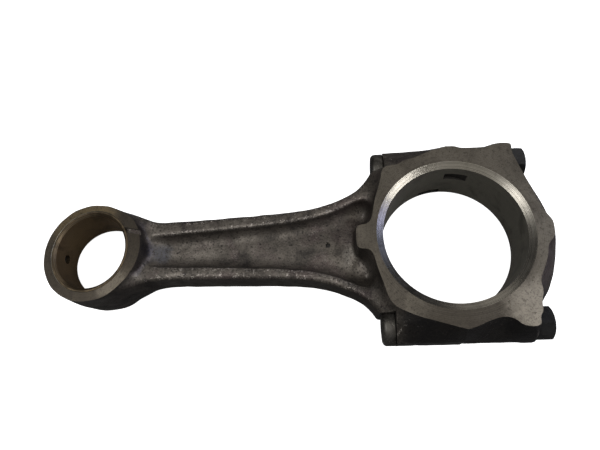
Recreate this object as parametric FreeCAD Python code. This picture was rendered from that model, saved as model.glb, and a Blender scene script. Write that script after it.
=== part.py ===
"""Forged connecting rod of a small industrial diesel engine, as seven separate pieces.

Frame: origin on the big-end bore axis at mid thickness, +Z along both bores,
+X from the small end through the big end to the cap, +Y across the rod.
All sizes are in millimetres.
"""
import FreeCAD, Part
import math
import os
from FreeCAD import Vector

os.makedirs("parts", exist_ok=True)

# ---------------------------------------------------------------- overall sizes
CENTRE_DISTANCE = 180.0     # big-end bore axis to small-end bore axis
BIG_BORE_R = 33.25          # housing bore, without bearing shells
BIG_WIDTH = 32.8            # over the two machined thrust faces
SMALL_BORE_R = 19.0         # bush bore for the gudgeon pin

# ---------------------------------------------------------------- big end
BORE_CHAMFER_RADIAL = 3.2   # bore mouth chamfer, measured across the face
BORE_CHAMFER_DEPTH = 1.85   # and along the axis
RING_WALL_FACE = 6.6        # ring wall at the thrust face, rod side
RING_WALL_MID = 10.6        # ring wall at mid thickness, after the forging draft
CAP_WALL_FACE = 8.2         # the same two walls on the cap
CAP_WALL_MID = 16.0
CROWN_WALL = 10.5           # wall at the small pad in the middle of the cap's crown
CROWN_PAD_WIDTH = 9.0
WEB_PROUD = 0.6             # fill between crown and nut pads, outside the cap's ring
WEB_BESIDE_CROWN = 1.5      # its flat beside the crown pad
WEB_SLOPE = 2.5             # and its first slope beside the nut, along the rod
WEB_SLOPE_IN = 3.4          # and across it
TAB_WALL = 12.6             # wall at the tab that reaches from the ring into the web
TAB_WIDTH = 10.8
TAB_CORNER_R = 2.0

# ---------------------------------------------------------------- bolts and nuts
BOLT_R = 5.5                # fitted lands of the bolt
BORE_TO_BOLT = 2.25         # metal between the big-end bore and a bolt's fitted land
BOLT_HOLE_CLEARANCE = 0.03  # radial, rod and cap holes over the fitted lands
WAIST_RELIEF = 0.6          # radial, shank between the fitted lands
THREAD_RELIEF = 0.05        # radial, thread crests under the fitted lands
NUT_THREAD_CLEARANCE = 0.05 # radial, nut bore over the thread
HEAD_SEAT_IN = 3.25         # bolt heads bear on a shoulder this far inside the bore's radius
HEAD_HEIGHT = 6.5
HEAD_RIM = 3.2              # radial, head over the fitted lands
HEAD_FLAT_IN = 0.2          # the flat that stops the bolt turning is this far inside them
HEAD_EDGE_R = 2.2
HEAD_CLEARANCE = 0.1        # between the flat and the rod's flank
NUT_SEAT_IN = 1.25          # nuts bear on the cap this far inside the bore's radius
NUT_HEIGHT = 9.0
NUT_WALL = 2.0              # bolt's fitted land to the nut's flats
NUT_CHAMFER = 1.2           # along the nut's axis
NUT_CROWN = 2.04            # and across it
UPPER_NUT_TURN = 0.0        # first corner's angle from +Y, where each nut came to rest
LOWER_NUT_TURN = 37.0
SPOTFACE_CLEARANCE = 0.9    # round the nut's corners
BOLT_END_RECESS = 0.4       # bolt end below the nut's outer face
BOLT_POINT = 1.0            # chamfer on the bolt's end
LAND_LENGTH = 6.0           # fitted land under the head
PARTING_LAND = 8.0          # fitted land each side of the parting plane
THREAD_START_BELOW_SEAT = 7.0

# ---------------------------------------------------------------- bolt columns
COLUMN_WALL = 2.85          # bolt's fitted land to the column's outer flat
COLUMN_FLAT_HALF = 6.5      # half height of that flat
COLUMN_SHOULDER_DROP = 4.9  # thrust face to where the upper slope of the column begins
COLUMN_SHOULDER_WALL = 0.1  # and its distance outside the fitted land
COLUMN_IN = 14.0            # column sections reach this far inside the bolt axis
TOP_AT_SEAT = -5.2          # thrust-face edge relative to the bolt axis, at the head seat
TOP_AT_PARTING = 3.5        # at the parting plane
TOP_AT_WAIST = -0.3         # at the cap's waist
TOP_AT_PAD = 2.9            # at the nut pad
WAIST_X = 16.0
PAD_LENGTH = 8.0            # length of the nut pad along the bolt
PAD_WALL = 3.4              # bolt's fitted land to the nut pad's outside

# ---------------------------------------------------------------- bearing tang notches
TANG_DEPTH = 1.4
TANG_CUTTER_R = 20.0
CAP_TANG_DROP = (13.9, 7.9) # upper thrust face down to the notch's two sides
ROD_TANG_RISE = (2.1, 5.8)  # lower thrust face up to the notch's two sides

# ---------------------------------------------------------------- shank
FLANGE_HALF = 10.0          # half thickness of the flanges
WEB_HALF = 3.5              # half thickness of the web
FLANGE_WIDTH = 5.0          # flange width, seen on the broad side
POCKET_DRAFT = 1.8          # pocket floor is smaller than its mouth by this much all round
POCKET_END_RUN = 5.0        # the pocket's side begins this far from its end wall
POCKET_END_IN = 1.0         # and is this much narrower at the wall
POCKET_STOP_RUN = 2.0       # the same two at the big end, where it widens
POCKET_STOP_OUT = 0.5
POCKET_OVER = 0.5           # the pocket's draft carries on this far above the flanges
NECK_WALL = 9.0             # bush seat to the pocket's end wall
POCKET_FROM_BORE = 2.75     # pocket runs under the ring, this close to the big-end bore
WAIST_FROM_SEAT = 21.0      # narrowest part of the shank, from the bush seat
WAIST_HALF = 15.4
# The shank's flank widens from its waist to the bolt head's flat. Each pair is
# the share of that length and the share of that widening.
FLARE = (
    (0.2759, 0.0286),
    (0.4729, 0.0714),
    (0.6207, 0.1190),
    (0.7488, 0.2190),
    (0.8473, 0.3810),
    (0.9261, 0.6190),
)
SHOULDER_IN = 1.0           # the flank runs into the eye this far inside the bush seat's radius
SHOULDER_TAPER = 2.0        # and its half width there is the seat's radius less this

# ---------------------------------------------------------------- small end
EYE_WALL_MID = 5.0          # bush seat to the eye's outside, at mid thickness
EYE_WALL_EDGE = 4.2         # and at the edge of the thrust face, after the draft
EYE_STEP = 2.9              # big end's half width less the eye's, on the bore axis
EYE_TAPER = 5.65            # each face leans by this many degrees, thicker to the shank
EYE_LOBE_WALL = 1.0         # the eye is drawn out towards the shank by a smaller arc
EYE_LOBE_DRAFT = 0.6
EYE_LOBE_OFFSET = 5.8
BUSH_WALL = 2.0
BUSH_CHAMFER = 1.3
EYE_CHAMFER = 0.3
OIL_HOLE_R = 2.4
GROOVE_WIDTH = 2.4          # oil groove across the upper thrust face
GROOVE_DEPTH = 1.6
GROOVE_WALL = 6.5           # groove's outer end from the bush seat
GROOVE_Y = (9.6, 7.4)       # its Y at the bush and at the outer end

DIMPLE_R = 0.9              # hardness test mark on the web
DIMPLE_X = -60.0
DIMPLE_DEPTH = 0.5

# ---------------------------------------------------------------- sizes that follow
HALF = BIG_WIDTH / 2.0
BOLT_OFFSET = BIG_BORE_R + BORE_TO_BOLT + BOLT_R    # bolt axes at +Y and -Y of the bore axis
HOLE_R = BOLT_R + BOLT_HOLE_CLEARANCE
THREAD_R = BOLT_R - THREAD_RELIEF
HEAD_SEAT_X = HEAD_SEAT_IN - BIG_BORE_R
HEAD_FLAT = BOLT_R - HEAD_FLAT_IN
FLANK_Y = BOLT_OFFSET - HEAD_FLAT - HEAD_CLEARANCE
NUT_SEAT_X = BIG_BORE_R - NUT_SEAT_IN
NUT_FLATS = 2.0 * (BOLT_R + NUT_WALL)               # across flats
NUT_CORNER_R = NUT_FLATS / math.sqrt(3)
BOLT_END_X = NUT_SEAT_X + NUT_HEIGHT - BOLT_END_RECESS
COLUMN_OUT = BOLT_R + COLUMN_WALL
PAD_OUT = BOLT_R + PAD_WALL
COLUMN_SHOULDER_Z = HALF - COLUMN_SHOULDER_DROP
EYE_X = -CENTRE_DISTANCE
BUSH_R = SMALL_BORE_R + BUSH_WALL
EYE_R_MID = BUSH_R + EYE_WALL_MID
EYE_HALF = HALF - EYE_STEP
EYE_RISE = math.tan(math.radians(EYE_TAPER))
POCKET_BIG_X = -BIG_BORE_R - POCKET_FROM_BORE
REACH = 400.0               # longer than any piece, for cutting tools
X_AXIS = Vector(1, 0, 0)


def cone_pair(centre_x, mid_r, face_r, half):
    """Round blank that drafts from its middle towards both faces."""
    upper = Part.makeCone(mid_r, face_r, half, Vector(centre_x, 0, 0), Vector(0, 0, 1))
    lower = Part.makeCone(mid_r, face_r, half, Vector(centre_x, 0, 0), Vector(0, 0, -1))
    return upper.fuse(lower).removeSplitter()


def block(x_low, x_high, y_low, y_high, z_low, z_high):
    """Plain rectangular block between two corners."""
    size = (x_high - x_low, y_high - y_low, z_high - z_low)
    return Part.makeBox(*size, Vector(x_low, y_low, z_low))


def rod_side(shape):
    """Keep what lies on the rod's side of the parting plane."""
    return shape.common(block(-REACH, 0, -REACH, REACH, -REACH, REACH))


def cap_side(shape):
    """Keep what lies on the cap's side of the parting plane."""
    return shape.common(block(0, REACH, -REACH, REACH, -REACH, REACH))


def polygon_face(points):
    """Flat face inside a closed outline of straight lines."""
    return Part.Face(Part.makePolygon(list(points) + [points[0]]))


def rounded_tab(x_low, x_high, width):
    """Full-height tab with two rounded corners at its low-X end."""
    tab = block(x_low, x_high, -width / 2, width / 2, -HALF, HALF)
    corners = [e for e in tab.Edges if is_corner(e, x_low)]
    return tab.makeFillet(TAB_CORNER_R, corners)


def is_corner(edge, x):
    """True for an edge that stands along Z at the given X."""
    first, last = edge.Vertexes[0].Point, edge.Vertexes[-1].Point
    upright = abs(first.z - last.z) > HALF
    return upright and abs(first.x - x) < 1e-6


def column_section(x, side, top, out):
    """Cross-section of a bolt column: sloping above and below, flat outside."""
    profile = (
        (-COLUMN_IN, HALF),
        (top, HALF),
        (BOLT_R + COLUMN_SHOULDER_WALL, COLUMN_SHOULDER_Z),
        (out, COLUMN_FLAT_HALF),
        (out, -COLUMN_FLAT_HALF),
        (BOLT_R + COLUMN_SHOULDER_WALL, -COLUMN_SHOULDER_Z),
        (top, -HALF),
        (-COLUMN_IN, -HALF),
    )
    points = [Vector(x, side * (BOLT_OFFSET + y), z) for y, z in profile]
    return Part.makePolygon(points + [points[0]])


def column(side, stations):
    """Bolt column lofted through its (x, top, out) stations."""
    sections = [column_section(x, side, top, out) for x, top, out in stations]
    return Part.makeLoft(sections, True, True)


def along_x(radius, x_low, x_high, y):
    """Round bar or hole along X."""
    return Part.makeCylinder(radius, x_high - x_low, Vector(x_low, y, 0), X_AXIS)


def bore_cutter(centre_x, radius, half, chamfer_radial, chamfer_depth):
    """Bore along Z with the same chamfer at both faces."""
    outer = radius + chamfer_radial
    tool = Part.makeCylinder(radius, REACH, Vector(centre_x, 0, -REACH / 2))
    for sign in (1, -1):
        start = Vector(centre_x, 0, sign * (half - chamfer_depth))
        mouth = Part.makeCone(radius, outer, chamfer_depth, start, Vector(0, 0, sign))
        tool = tool.fuse(mouth)
    return tool


def wedge_planes(half_at_axis):
    """Space between the small end's two leaning thrust faces."""
    x_low, x_high = EYE_X - 2 * EYE_R_MID, EYE_X + 2 * EYE_R_MID
    low_z = half_at_axis + EYE_RISE * (x_low - EYE_X)
    high_z = half_at_axis + EYE_RISE * (x_high - EYE_X)
    y = -2 * EYE_R_MID
    outline = (
        Vector(x_low, y, -low_z),
        Vector(x_high, y, -high_z),
        Vector(x_high, y, high_z),
        Vector(x_low, y, low_z),
    )
    return polygon_face(outline).extrude(Vector(0, 4 * EYE_R_MID, 0))


def flank_points():
    """Upper flank of the shank from the eye to the bolt head's flat."""
    shoulder = Vector(EYE_X + BUSH_R - SHOULDER_IN, BUSH_R - SHOULDER_TAPER, 0)
    waist = Vector(EYE_X + BUSH_R + WAIST_FROM_SEAT, WAIST_HALF, 0)
    end = Vector(HEAD_SEAT_X - HEAD_HEIGHT, FLANK_Y, 0)
    run = end.sub(waist)
    flare = [Vector(waist.x + along * run.x, waist.y + out * run.y, 0) for along, out in FLARE]
    return [shoulder, waist] + flare + [end]


def mirrored(points):
    """The same points on the other side of the rod's centre line."""
    return [Vector(p.x, -p.y, p.z) for p in points]


def spline_edge(points):
    """Smooth edge through a row of points."""
    curve = Part.BSplineCurve()
    curve.interpolate(points)
    return curve.toShape()


def shank_blank():
    """Full-thickness shank, from inside the eye to inside the big-end ring."""
    upper = flank_points()
    lower = mirrored(upper)
    inner_x = HEAD_SEAT_X + LAND_LENGTH
    corner = Vector(inner_x, FLANK_Y, 0)
    corner_low = Vector(inner_x, -FLANK_Y, 0)
    edges = [
        spline_edge(upper),
        Part.makeLine(upper[-1], corner),
        Part.makeLine(corner, corner_low),
        Part.makeLine(corner_low, lower[-1]),
        spline_edge(lower),
        Part.makeLine(lower[0], upper[0]),
    ]
    wire = Part.Wire(Part.__sortEdges__(edges))
    return Part.Face(wire).extrude(Vector(0, 0, 2 * FLANGE_HALF)).translated(Vector(0, 0, -FLANGE_HALF))


def pocket_outline(z, inset):
    """Outline of the pocket between the flanges, at height z."""
    end_x = EYE_X + BUSH_R + NECK_WALL + inset
    reach = FLANGE_WIDTH + inset
    low_x, high_x = end_x + POCKET_END_RUN, POCKET_BIG_X - POCKET_STOP_RUN
    inner = [p for p in flank_points() if low_x < p.x < high_x]
    end_half = WAIST_HALF - reach - POCKET_END_IN
    start = Vector(end_x, end_half, z)
    stop_half = inner[-1].y - reach + POCKET_STOP_OUT
    upper = [start] + [Vector(p.x, p.y - reach, z) for p in inner]
    upper.append(Vector(POCKET_BIG_X, stop_half, z))
    lower = [Vector(p.x, -p.y, z) for p in upper]
    edges = [
        spline_edge(upper),
        Part.makeLine(upper[-1], lower[-1]),
        spline_edge(list(reversed(lower))),
        Part.makeLine(lower[0], upper[0]),
    ]
    return Part.Wire(edges)


def pocket_cutter(sign):
    """Drafted pocket on one broad side of the shank."""
    mouth = pocket_outline(sign * (FLANGE_HALF + POCKET_OVER), 0.0)
    floor = pocket_outline(sign * WEB_HALF, POCKET_DRAFT)
    return Part.makeLoft([floor, mouth], True, True)


def tang_disc(z_low, z_high):
    """Cutter for a notch that holds a bearing shell's tang, on the parting plane."""
    centre_y = BIG_BORE_R + TANG_DEPTH - TANG_CUTTER_R
    return Part.makeCylinder(TANG_CUTTER_R, z_high - z_low, Vector(0, centre_y, z_low))


def oil_groove():
    """Slanting oil groove across the upper thrust face of the small end."""
    inner = Vector(EYE_X + SMALL_BORE_R, GROOVE_Y[0], 0)
    outer = Vector(EYE_X + BUSH_R + GROOVE_WALL, GROOVE_Y[1], 0)
    run = outer.sub(inner)
    length = run.Length
    floor_z = EYE_HALF - GROOVE_DEPTH
    tool = Part.makeBox(length, GROOVE_WIDTH, REACH, Vector(0, -GROOVE_WIDTH / 2, 0))
    tool.rotate(Vector(0, 0, 0), Vector(0, 1, 0), -EYE_TAPER)
    tool.rotate(Vector(0, 0, 0), Vector(0, 0, 1), math.degrees(math.atan2(run.y, run.x)))
    tool.translate(Vector(inner.x, inner.y, floor_z + EYE_RISE * (inner.x - EYE_X)))
    return tool


def eye_blank():
    """Small-end eye, drawn out towards the shank and planed to its wedge."""
    height = EYE_HALF + EYE_R_MID * EYE_RISE * 2
    lobe_r = BUSH_R + EYE_LOBE_WALL
    ring = cone_pair(EYE_X, EYE_R_MID, BUSH_R + EYE_WALL_EDGE, height)
    lobe = cone_pair(EYE_X + EYE_LOBE_OFFSET, lobe_r, lobe_r - EYE_LOBE_DRAFT, height)
    return ring.fuse(lobe).common(wedge_planes(EYE_HALF))


def mouth_cutter(sign, radius, chamfer):
    """Chamfer at a small-end bore's mouth, square to the leaning thrust face."""
    margin = 2.0 * chamfer
    start = Vector(0, 0, -chamfer - margin)
    cone = Part.makeCone(radius - margin, radius + 2 * chamfer, 2 * chamfer + margin, start)
    cone.rotate(Vector(0, 0, 0), Vector(0, 1, 0), -EYE_TAPER)
    if sign < 0:
        cone = cone.mirror(Vector(0, 0, 0), Vector(0, 0, 1))
    cone.translate(Vector(EYE_X, 0, sign * EYE_HALF))
    return cone


def eye_cutters():
    """Bush seat, its chamfers and the oil hole in the crown."""
    seat = Part.makeCylinder(BUSH_R, REACH, Vector(EYE_X, 0, -REACH / 2))
    oil = along_x(OIL_HOLE_R, EYE_X - 2 * EYE_R_MID, EYE_X, 0)
    mouths = [mouth_cutter(sign, BUSH_R, EYE_CHAMFER) for sign in (1, -1)]
    return [seat, oil, oil_groove()] + mouths


def rod_body():
    """Forged rod: eye, I-section shank and the upper half of the big end."""
    shank = shank_blank().cut([pocket_cutter(1), pocket_cutter(-1)])
    ring = rod_side(cone_pair(0, BIG_BORE_R + RING_WALL_MID, BIG_BORE_R + RING_WALL_FACE, HALF))
    tab = rounded_tab(-BIG_BORE_R - TAB_WALL, -BIG_BORE_R, TAB_WIDTH)
    stations = ((HEAD_SEAT_X, TOP_AT_SEAT, COLUMN_OUT), (0.0, TOP_AT_PARTING, COLUMN_OUT))
    columns = [column(side, stations) for side in (1, -1)]
    body = shank.fuse([ring, tab, eye_blank()] + columns)
    tools = [
        bore_cutter(0, BIG_BORE_R, HALF, BORE_CHAMFER_RADIAL, BORE_CHAMFER_DEPTH),
        rod_side(tang_disc(*[rise - HALF for rise in ROD_TANG_RISE])),
    ]
    for side in (1, -1):
        tools.append(along_x(HOLE_R, HEAD_SEAT_X, REACH, side * BOLT_OFFSET))
        tools.append(head_space(side))
        dimple = Vector(DIMPLE_X, 0, side * (WEB_HALF - DIMPLE_DEPTH))
        tools.append(Part.makeCylinder(DIMPLE_R, FLANGE_HALF, dimple, Vector(0, 0, side)))
    body = body.cut(tools + eye_cutters())
    return body.removeSplitter()


def head_space(side):
    """Room for the bolt head, which leaves the seat and the flank machined."""
    low, high = sorted((side * FLANK_Y, side * REACH))
    return block(-REACH, HEAD_SEAT_X, low, high, -REACH, REACH)


def cap():
    """Forged cap: the lower half of the big end, with two nut pads."""
    ring = cap_side(cone_pair(0, BIG_BORE_R + CAP_WALL_MID, BIG_BORE_R + CAP_WALL_FACE, HALF))
    pad_x = NUT_SEAT_X - PAD_LENGTH
    stations = (
        (0.0, TOP_AT_PARTING, COLUMN_OUT),
        (WAIST_X, TOP_AT_WAIST, COLUMN_OUT),
        (pad_x, TOP_AT_PAD, COLUMN_OUT + (PAD_OUT - COLUMN_OUT) / 2),
        (NUT_SEAT_X, TOP_AT_PAD, PAD_OUT),
    )
    columns = [column(side, stations) for side in (1, -1)]
    crown_x = BIG_BORE_R + CROWN_WALL
    crown = block(BIG_BORE_R, crown_x, -CROWN_PAD_WIDTH / 2, CROWN_PAD_WIDTH / 2, -HALF, HALF)
    blank = ring.fuse([crown, flank_web()] + columns)
    tools = [
        bore_cutter(0, BIG_BORE_R, HALF, BORE_CHAMFER_RADIAL, BORE_CHAMFER_DEPTH),
        cap_side(tang_disc(*[HALF - drop for drop in CAP_TANG_DROP])),
    ]
    spot_r = NUT_CORNER_R + SPOTFACE_CLEARANCE
    for side in (1, -1):
        y = side * BOLT_OFFSET
        tools.append(along_x(HOLE_R, -REACH, NUT_SEAT_X, y))
        tools.append(along_x(spot_r, NUT_SEAT_X, REACH, y))
    return blank.cut(tools).removeSplitter()


def flank_web():
    """Straight-sided fill between the nut pads and the crown pad."""
    pad_y = BOLT_OFFSET - NUT_CORNER_R
    slope_x = NUT_SEAT_X + WEB_SLOPE
    slope_y = pad_y - WEB_SLOPE_IN
    crown_x = BIG_BORE_R + CAP_WALL_FACE + WEB_PROUD
    crown_y = CROWN_PAD_WIDTH / 2 + WEB_BESIDE_CROWN
    outline = (
        (NUT_SEAT_X / 2, pad_y),
        (NUT_SEAT_X, pad_y),
        (slope_x, slope_y),
        (crown_x, crown_y),
        (crown_x, -crown_y),
        (slope_x, -slope_y),
        (NUT_SEAT_X, -pad_y),
        (NUT_SEAT_X / 2, -pad_y),
    )
    face = polygon_face([Vector(x, y, -HALF) for x, y in outline])
    return face.extrude(Vector(0, 0, BIG_WIDTH))


def small_end_bush():
    """Bronze bush, pressed in, planed flush with the eye and drilled for oil."""
    outer = Part.makeCylinder(BUSH_R, REACH, Vector(EYE_X, 0, -REACH / 2))
    sleeve = outer.common(wedge_planes(EYE_HALF))
    tools = [
        Part.makeCylinder(SMALL_BORE_R, REACH, Vector(EYE_X, 0, -REACH / 2)),
        along_x(OIL_HOLE_R, EYE_X - 2 * EYE_R_MID, EYE_X, 0),
    ]
    tools += [mouth_cutter(sign, SMALL_BORE_R, BUSH_CHAMFER) for sign in (1, -1)]
    return sleeve.cut(tools)


def bolt(side):
    """Cap bolt: D-shaped head, fitted lands, waisted shank and threaded end."""
    y = side * BOLT_OFFSET
    head_x = HEAD_SEAT_X - HEAD_HEIGHT
    head = along_x(BOLT_R + HEAD_RIM, head_x, HEAD_SEAT_X, y)
    rim = [e for e in head.Edges if e.Closed and abs(e.CenterOfMass.x - head_x) < 1e-6]
    head = head.makeFillet(HEAD_EDGE_R, rim)
    low, high = sorted((side * (BOLT_OFFSET - HEAD_FLAT), 0.0))
    head = head.cut(block(head_x - 1, HEAD_SEAT_X + 1, low, high, -REACH, REACH))
    thread_x = NUT_SEAT_X - THREAD_START_BELOW_SEAT
    shank = [
        along_x(BOLT_R, HEAD_SEAT_X, HEAD_SEAT_X + LAND_LENGTH, y),
        along_x(BOLT_R - WAIST_RELIEF, HEAD_SEAT_X, thread_x, y),
        along_x(BOLT_R, -PARTING_LAND, PARTING_LAND, y),
        along_x(THREAD_R, thread_x, BOLT_END_X - BOLT_POINT, y),
        Part.makeCone(THREAD_R, THREAD_R - BOLT_POINT, BOLT_POINT,
                      Vector(BOLT_END_X - BOLT_POINT, y, 0), X_AXIS),
    ]
    return head.fuse(shank).removeSplitter()


def nut(side, turn):
    """Hexagon nut, chamfered outside, with its first corner turned from +Y."""
    y = side * BOLT_OFFSET
    points = []
    for i in range(6):
        angle = math.radians(60 * i + turn)
        points.append(Vector(NUT_SEAT_X, y + NUT_CORNER_R * math.cos(angle), NUT_CORNER_R * math.sin(angle)))
    hexagon = polygon_face(points).extrude(Vector(NUT_HEIGHT, 0, 0))
    straight = NUT_HEIGHT - NUT_CHAMFER
    crown = along_x(NUT_CORNER_R, NUT_SEAT_X, NUT_SEAT_X + straight, y)
    top = Part.makeCone(NUT_CORNER_R, NUT_CORNER_R - NUT_CROWN, NUT_CHAMFER,
                        Vector(NUT_SEAT_X + straight, y, 0), X_AXIS)
    hole = along_x(THREAD_R + NUT_THREAD_CLEARANCE, -REACH, REACH, y)
    return hexagon.common(crown.fuse(top)).cut(hole).removeSplitter()


def main():
    """Build every piece and write one STEP file for each."""
    pieces = {
        "rod_body": rod_body(),
        "cap": cap(),
        "small_end_bush": small_end_bush(),
    }
    for name, side, turn in (("upper", 1, UPPER_NUT_TURN), ("lower", -1, LOWER_NUT_TURN)):
        pieces["bolt_" + name] = bolt(side)
        pieces["nut_" + name] = nut(side, turn)
    for name, shape in pieces.items():
        solids = shape.Solids
        if len(solids) != 1 or not shape.isValid():
            raise ValueError(f"{name} has {len(solids)} solids, valid {shape.isValid()}")
        solids[0].exportStep(f"parts/{name}.step")
        print(f"{name}: {solids[0].Volume / 1000:.2f} cm3")


main()
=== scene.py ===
"""Looks of a forged connecting rod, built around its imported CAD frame.

The forgings are grown as smooth drafted blanks and then machined with exact
cutters, in the order a workshop does it: forge, plane, bore, face and drill.
Blanks and cutters are worked out in millimetres and become metres as meshes.
"""

import itertools
import logging
import math
from collections.abc import Callable, Iterable, Sequence
from dataclasses import dataclass, field
from enum import Enum

import bmesh
import bpy
import numpy as np
from mathutils import Matrix, Vector

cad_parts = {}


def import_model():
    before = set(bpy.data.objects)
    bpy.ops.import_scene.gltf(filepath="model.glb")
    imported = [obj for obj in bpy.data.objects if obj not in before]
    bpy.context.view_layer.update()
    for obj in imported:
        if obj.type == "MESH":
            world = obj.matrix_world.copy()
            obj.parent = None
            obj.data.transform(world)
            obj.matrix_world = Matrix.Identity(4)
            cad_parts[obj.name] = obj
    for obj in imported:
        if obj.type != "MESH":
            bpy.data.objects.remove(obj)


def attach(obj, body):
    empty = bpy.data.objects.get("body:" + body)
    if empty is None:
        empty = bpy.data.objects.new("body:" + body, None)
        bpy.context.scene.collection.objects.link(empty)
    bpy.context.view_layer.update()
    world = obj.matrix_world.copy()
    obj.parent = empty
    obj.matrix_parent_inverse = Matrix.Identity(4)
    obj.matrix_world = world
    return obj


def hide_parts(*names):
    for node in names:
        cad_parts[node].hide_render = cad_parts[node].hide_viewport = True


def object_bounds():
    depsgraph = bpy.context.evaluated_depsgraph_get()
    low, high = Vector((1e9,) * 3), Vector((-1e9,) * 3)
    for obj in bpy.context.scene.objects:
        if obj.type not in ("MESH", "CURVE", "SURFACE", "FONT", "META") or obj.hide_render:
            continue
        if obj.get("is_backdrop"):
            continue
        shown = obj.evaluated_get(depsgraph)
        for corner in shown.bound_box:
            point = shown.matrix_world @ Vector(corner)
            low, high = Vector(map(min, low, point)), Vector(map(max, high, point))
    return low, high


MM = 0.001
LOG = logging.getLogger("rod")

Triple = tuple[float, float, float]
Colour = Triple
Shape = tuple[np.ndarray, list]

# Sizes shared with the CAD pieces, in millimetres.
CENTRES = 180.0
BIG_BORE = 33.25
HALF_WIDTH = 16.4
COLUMN_SIDE = 48.9
CHAMFER_RADIAL = 3.2
CHAMFER_DEPTH = 1.85
BOLT_OFFSET = 41.0
HEAD_SEAT = -30.0
FLANK = 35.6
NUT_SEAT = 32.0
HOLE_R = 5.53
EYE_HALF = 13.5
EYE_TAPER = math.radians(5.65)
BUSH_OUT = 21.0
BUSH_IN = 19.0
BUSH_CHAMFER = 1.3
EYE_CHAMFER = 0.3
OIL_HOLE = 2.4
ROD_TANG = (-14.3, -10.6)
CAP_TANG = (2.5, 8.5)
THREAD_PITCH = 1.25

# Steps round the bush, its seat and its bore.
BUSH_STEPS = 160


# ------------------------------------------------------------------ blending
def smooth_max(a: np.ndarray, b: np.ndarray, radius: float | np.ndarray) -> np.ndarray:
    """Larger of two distances, rounded where they meet.

    Args:
        a: First distance field.
        b: Second distance field.
        radius: Width of the rounding, in millimetres.

    Returns:
        The blended field.
    """
    share = np.clip(0.5 - 0.5 * (b - a) / radius, 0.0, 1.0)
    return b + (a - b) * share + radius * share * (1.0 - share)


def smooth_min(a: np.ndarray, b: np.ndarray, radius: float | np.ndarray) -> np.ndarray:
    """Smaller of two distances, filleted where they meet.

    Args:
        a: First distance field.
        b: Second distance field.
        radius: Width of the fillet, in millimetres.

    Returns:
        The blended field.
    """
    return -smooth_max(-a, -b, radius)


def smooth_step(value: np.ndarray, low: float, high: float) -> np.ndarray:
    """Rise softly from 0 to 1 between two values.

    Args:
        value: What is measured.
        low: Where the rise begins.
        high: Where it ends.

    Returns:
        The share from 0 to 1.
    """
    share = np.clip((value - low) / (high - low), 0.0, 1.0)
    return share * share * (3.0 - 2.0 * share)


@dataclass
class Ripple:
    """Gentle unevenness of a hammered surface, the same on every run."""

    seed: int
    amplitude: float
    shortest: float = 5.0
    longest: float = 26.0
    waves: int = 22

    def __post_init__(self) -> None:
        """Draw the waves' directions, lengths and phases."""
        rng = np.random.default_rng(self.seed)
        heading = rng.normal(size=(self.waves, 3))
        heading /= np.linalg.norm(heading, axis=1, keepdims=True)
        length = np.geomspace(self.shortest, self.longest, self.waves)
        self.vectors = heading * (2.0 * math.pi / length)[:, None]
        self.phases = rng.uniform(0.0, 2.0 * math.pi, self.waves)
        self.weights = np.sqrt(length / self.longest)
        self.weights *= self.amplitude / np.linalg.norm(self.weights)

    def __call__(self, x: np.ndarray, y: np.ndarray, z: np.ndarray) -> np.ndarray:
        """Height of the unevenness at each point.

        Args:
            x: Along the rod.
            y: Across the rod.
            z: Along the bores.

        Returns:
            Heights in millimetres.
        """
        total = np.zeros_like(x)
        for (kx, ky, kz), phase, weight in zip(self.vectors, self.phases, self.weights):
            total += weight * np.sin(kx * x + ky * y + kz * z + phase)
        return total


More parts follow.
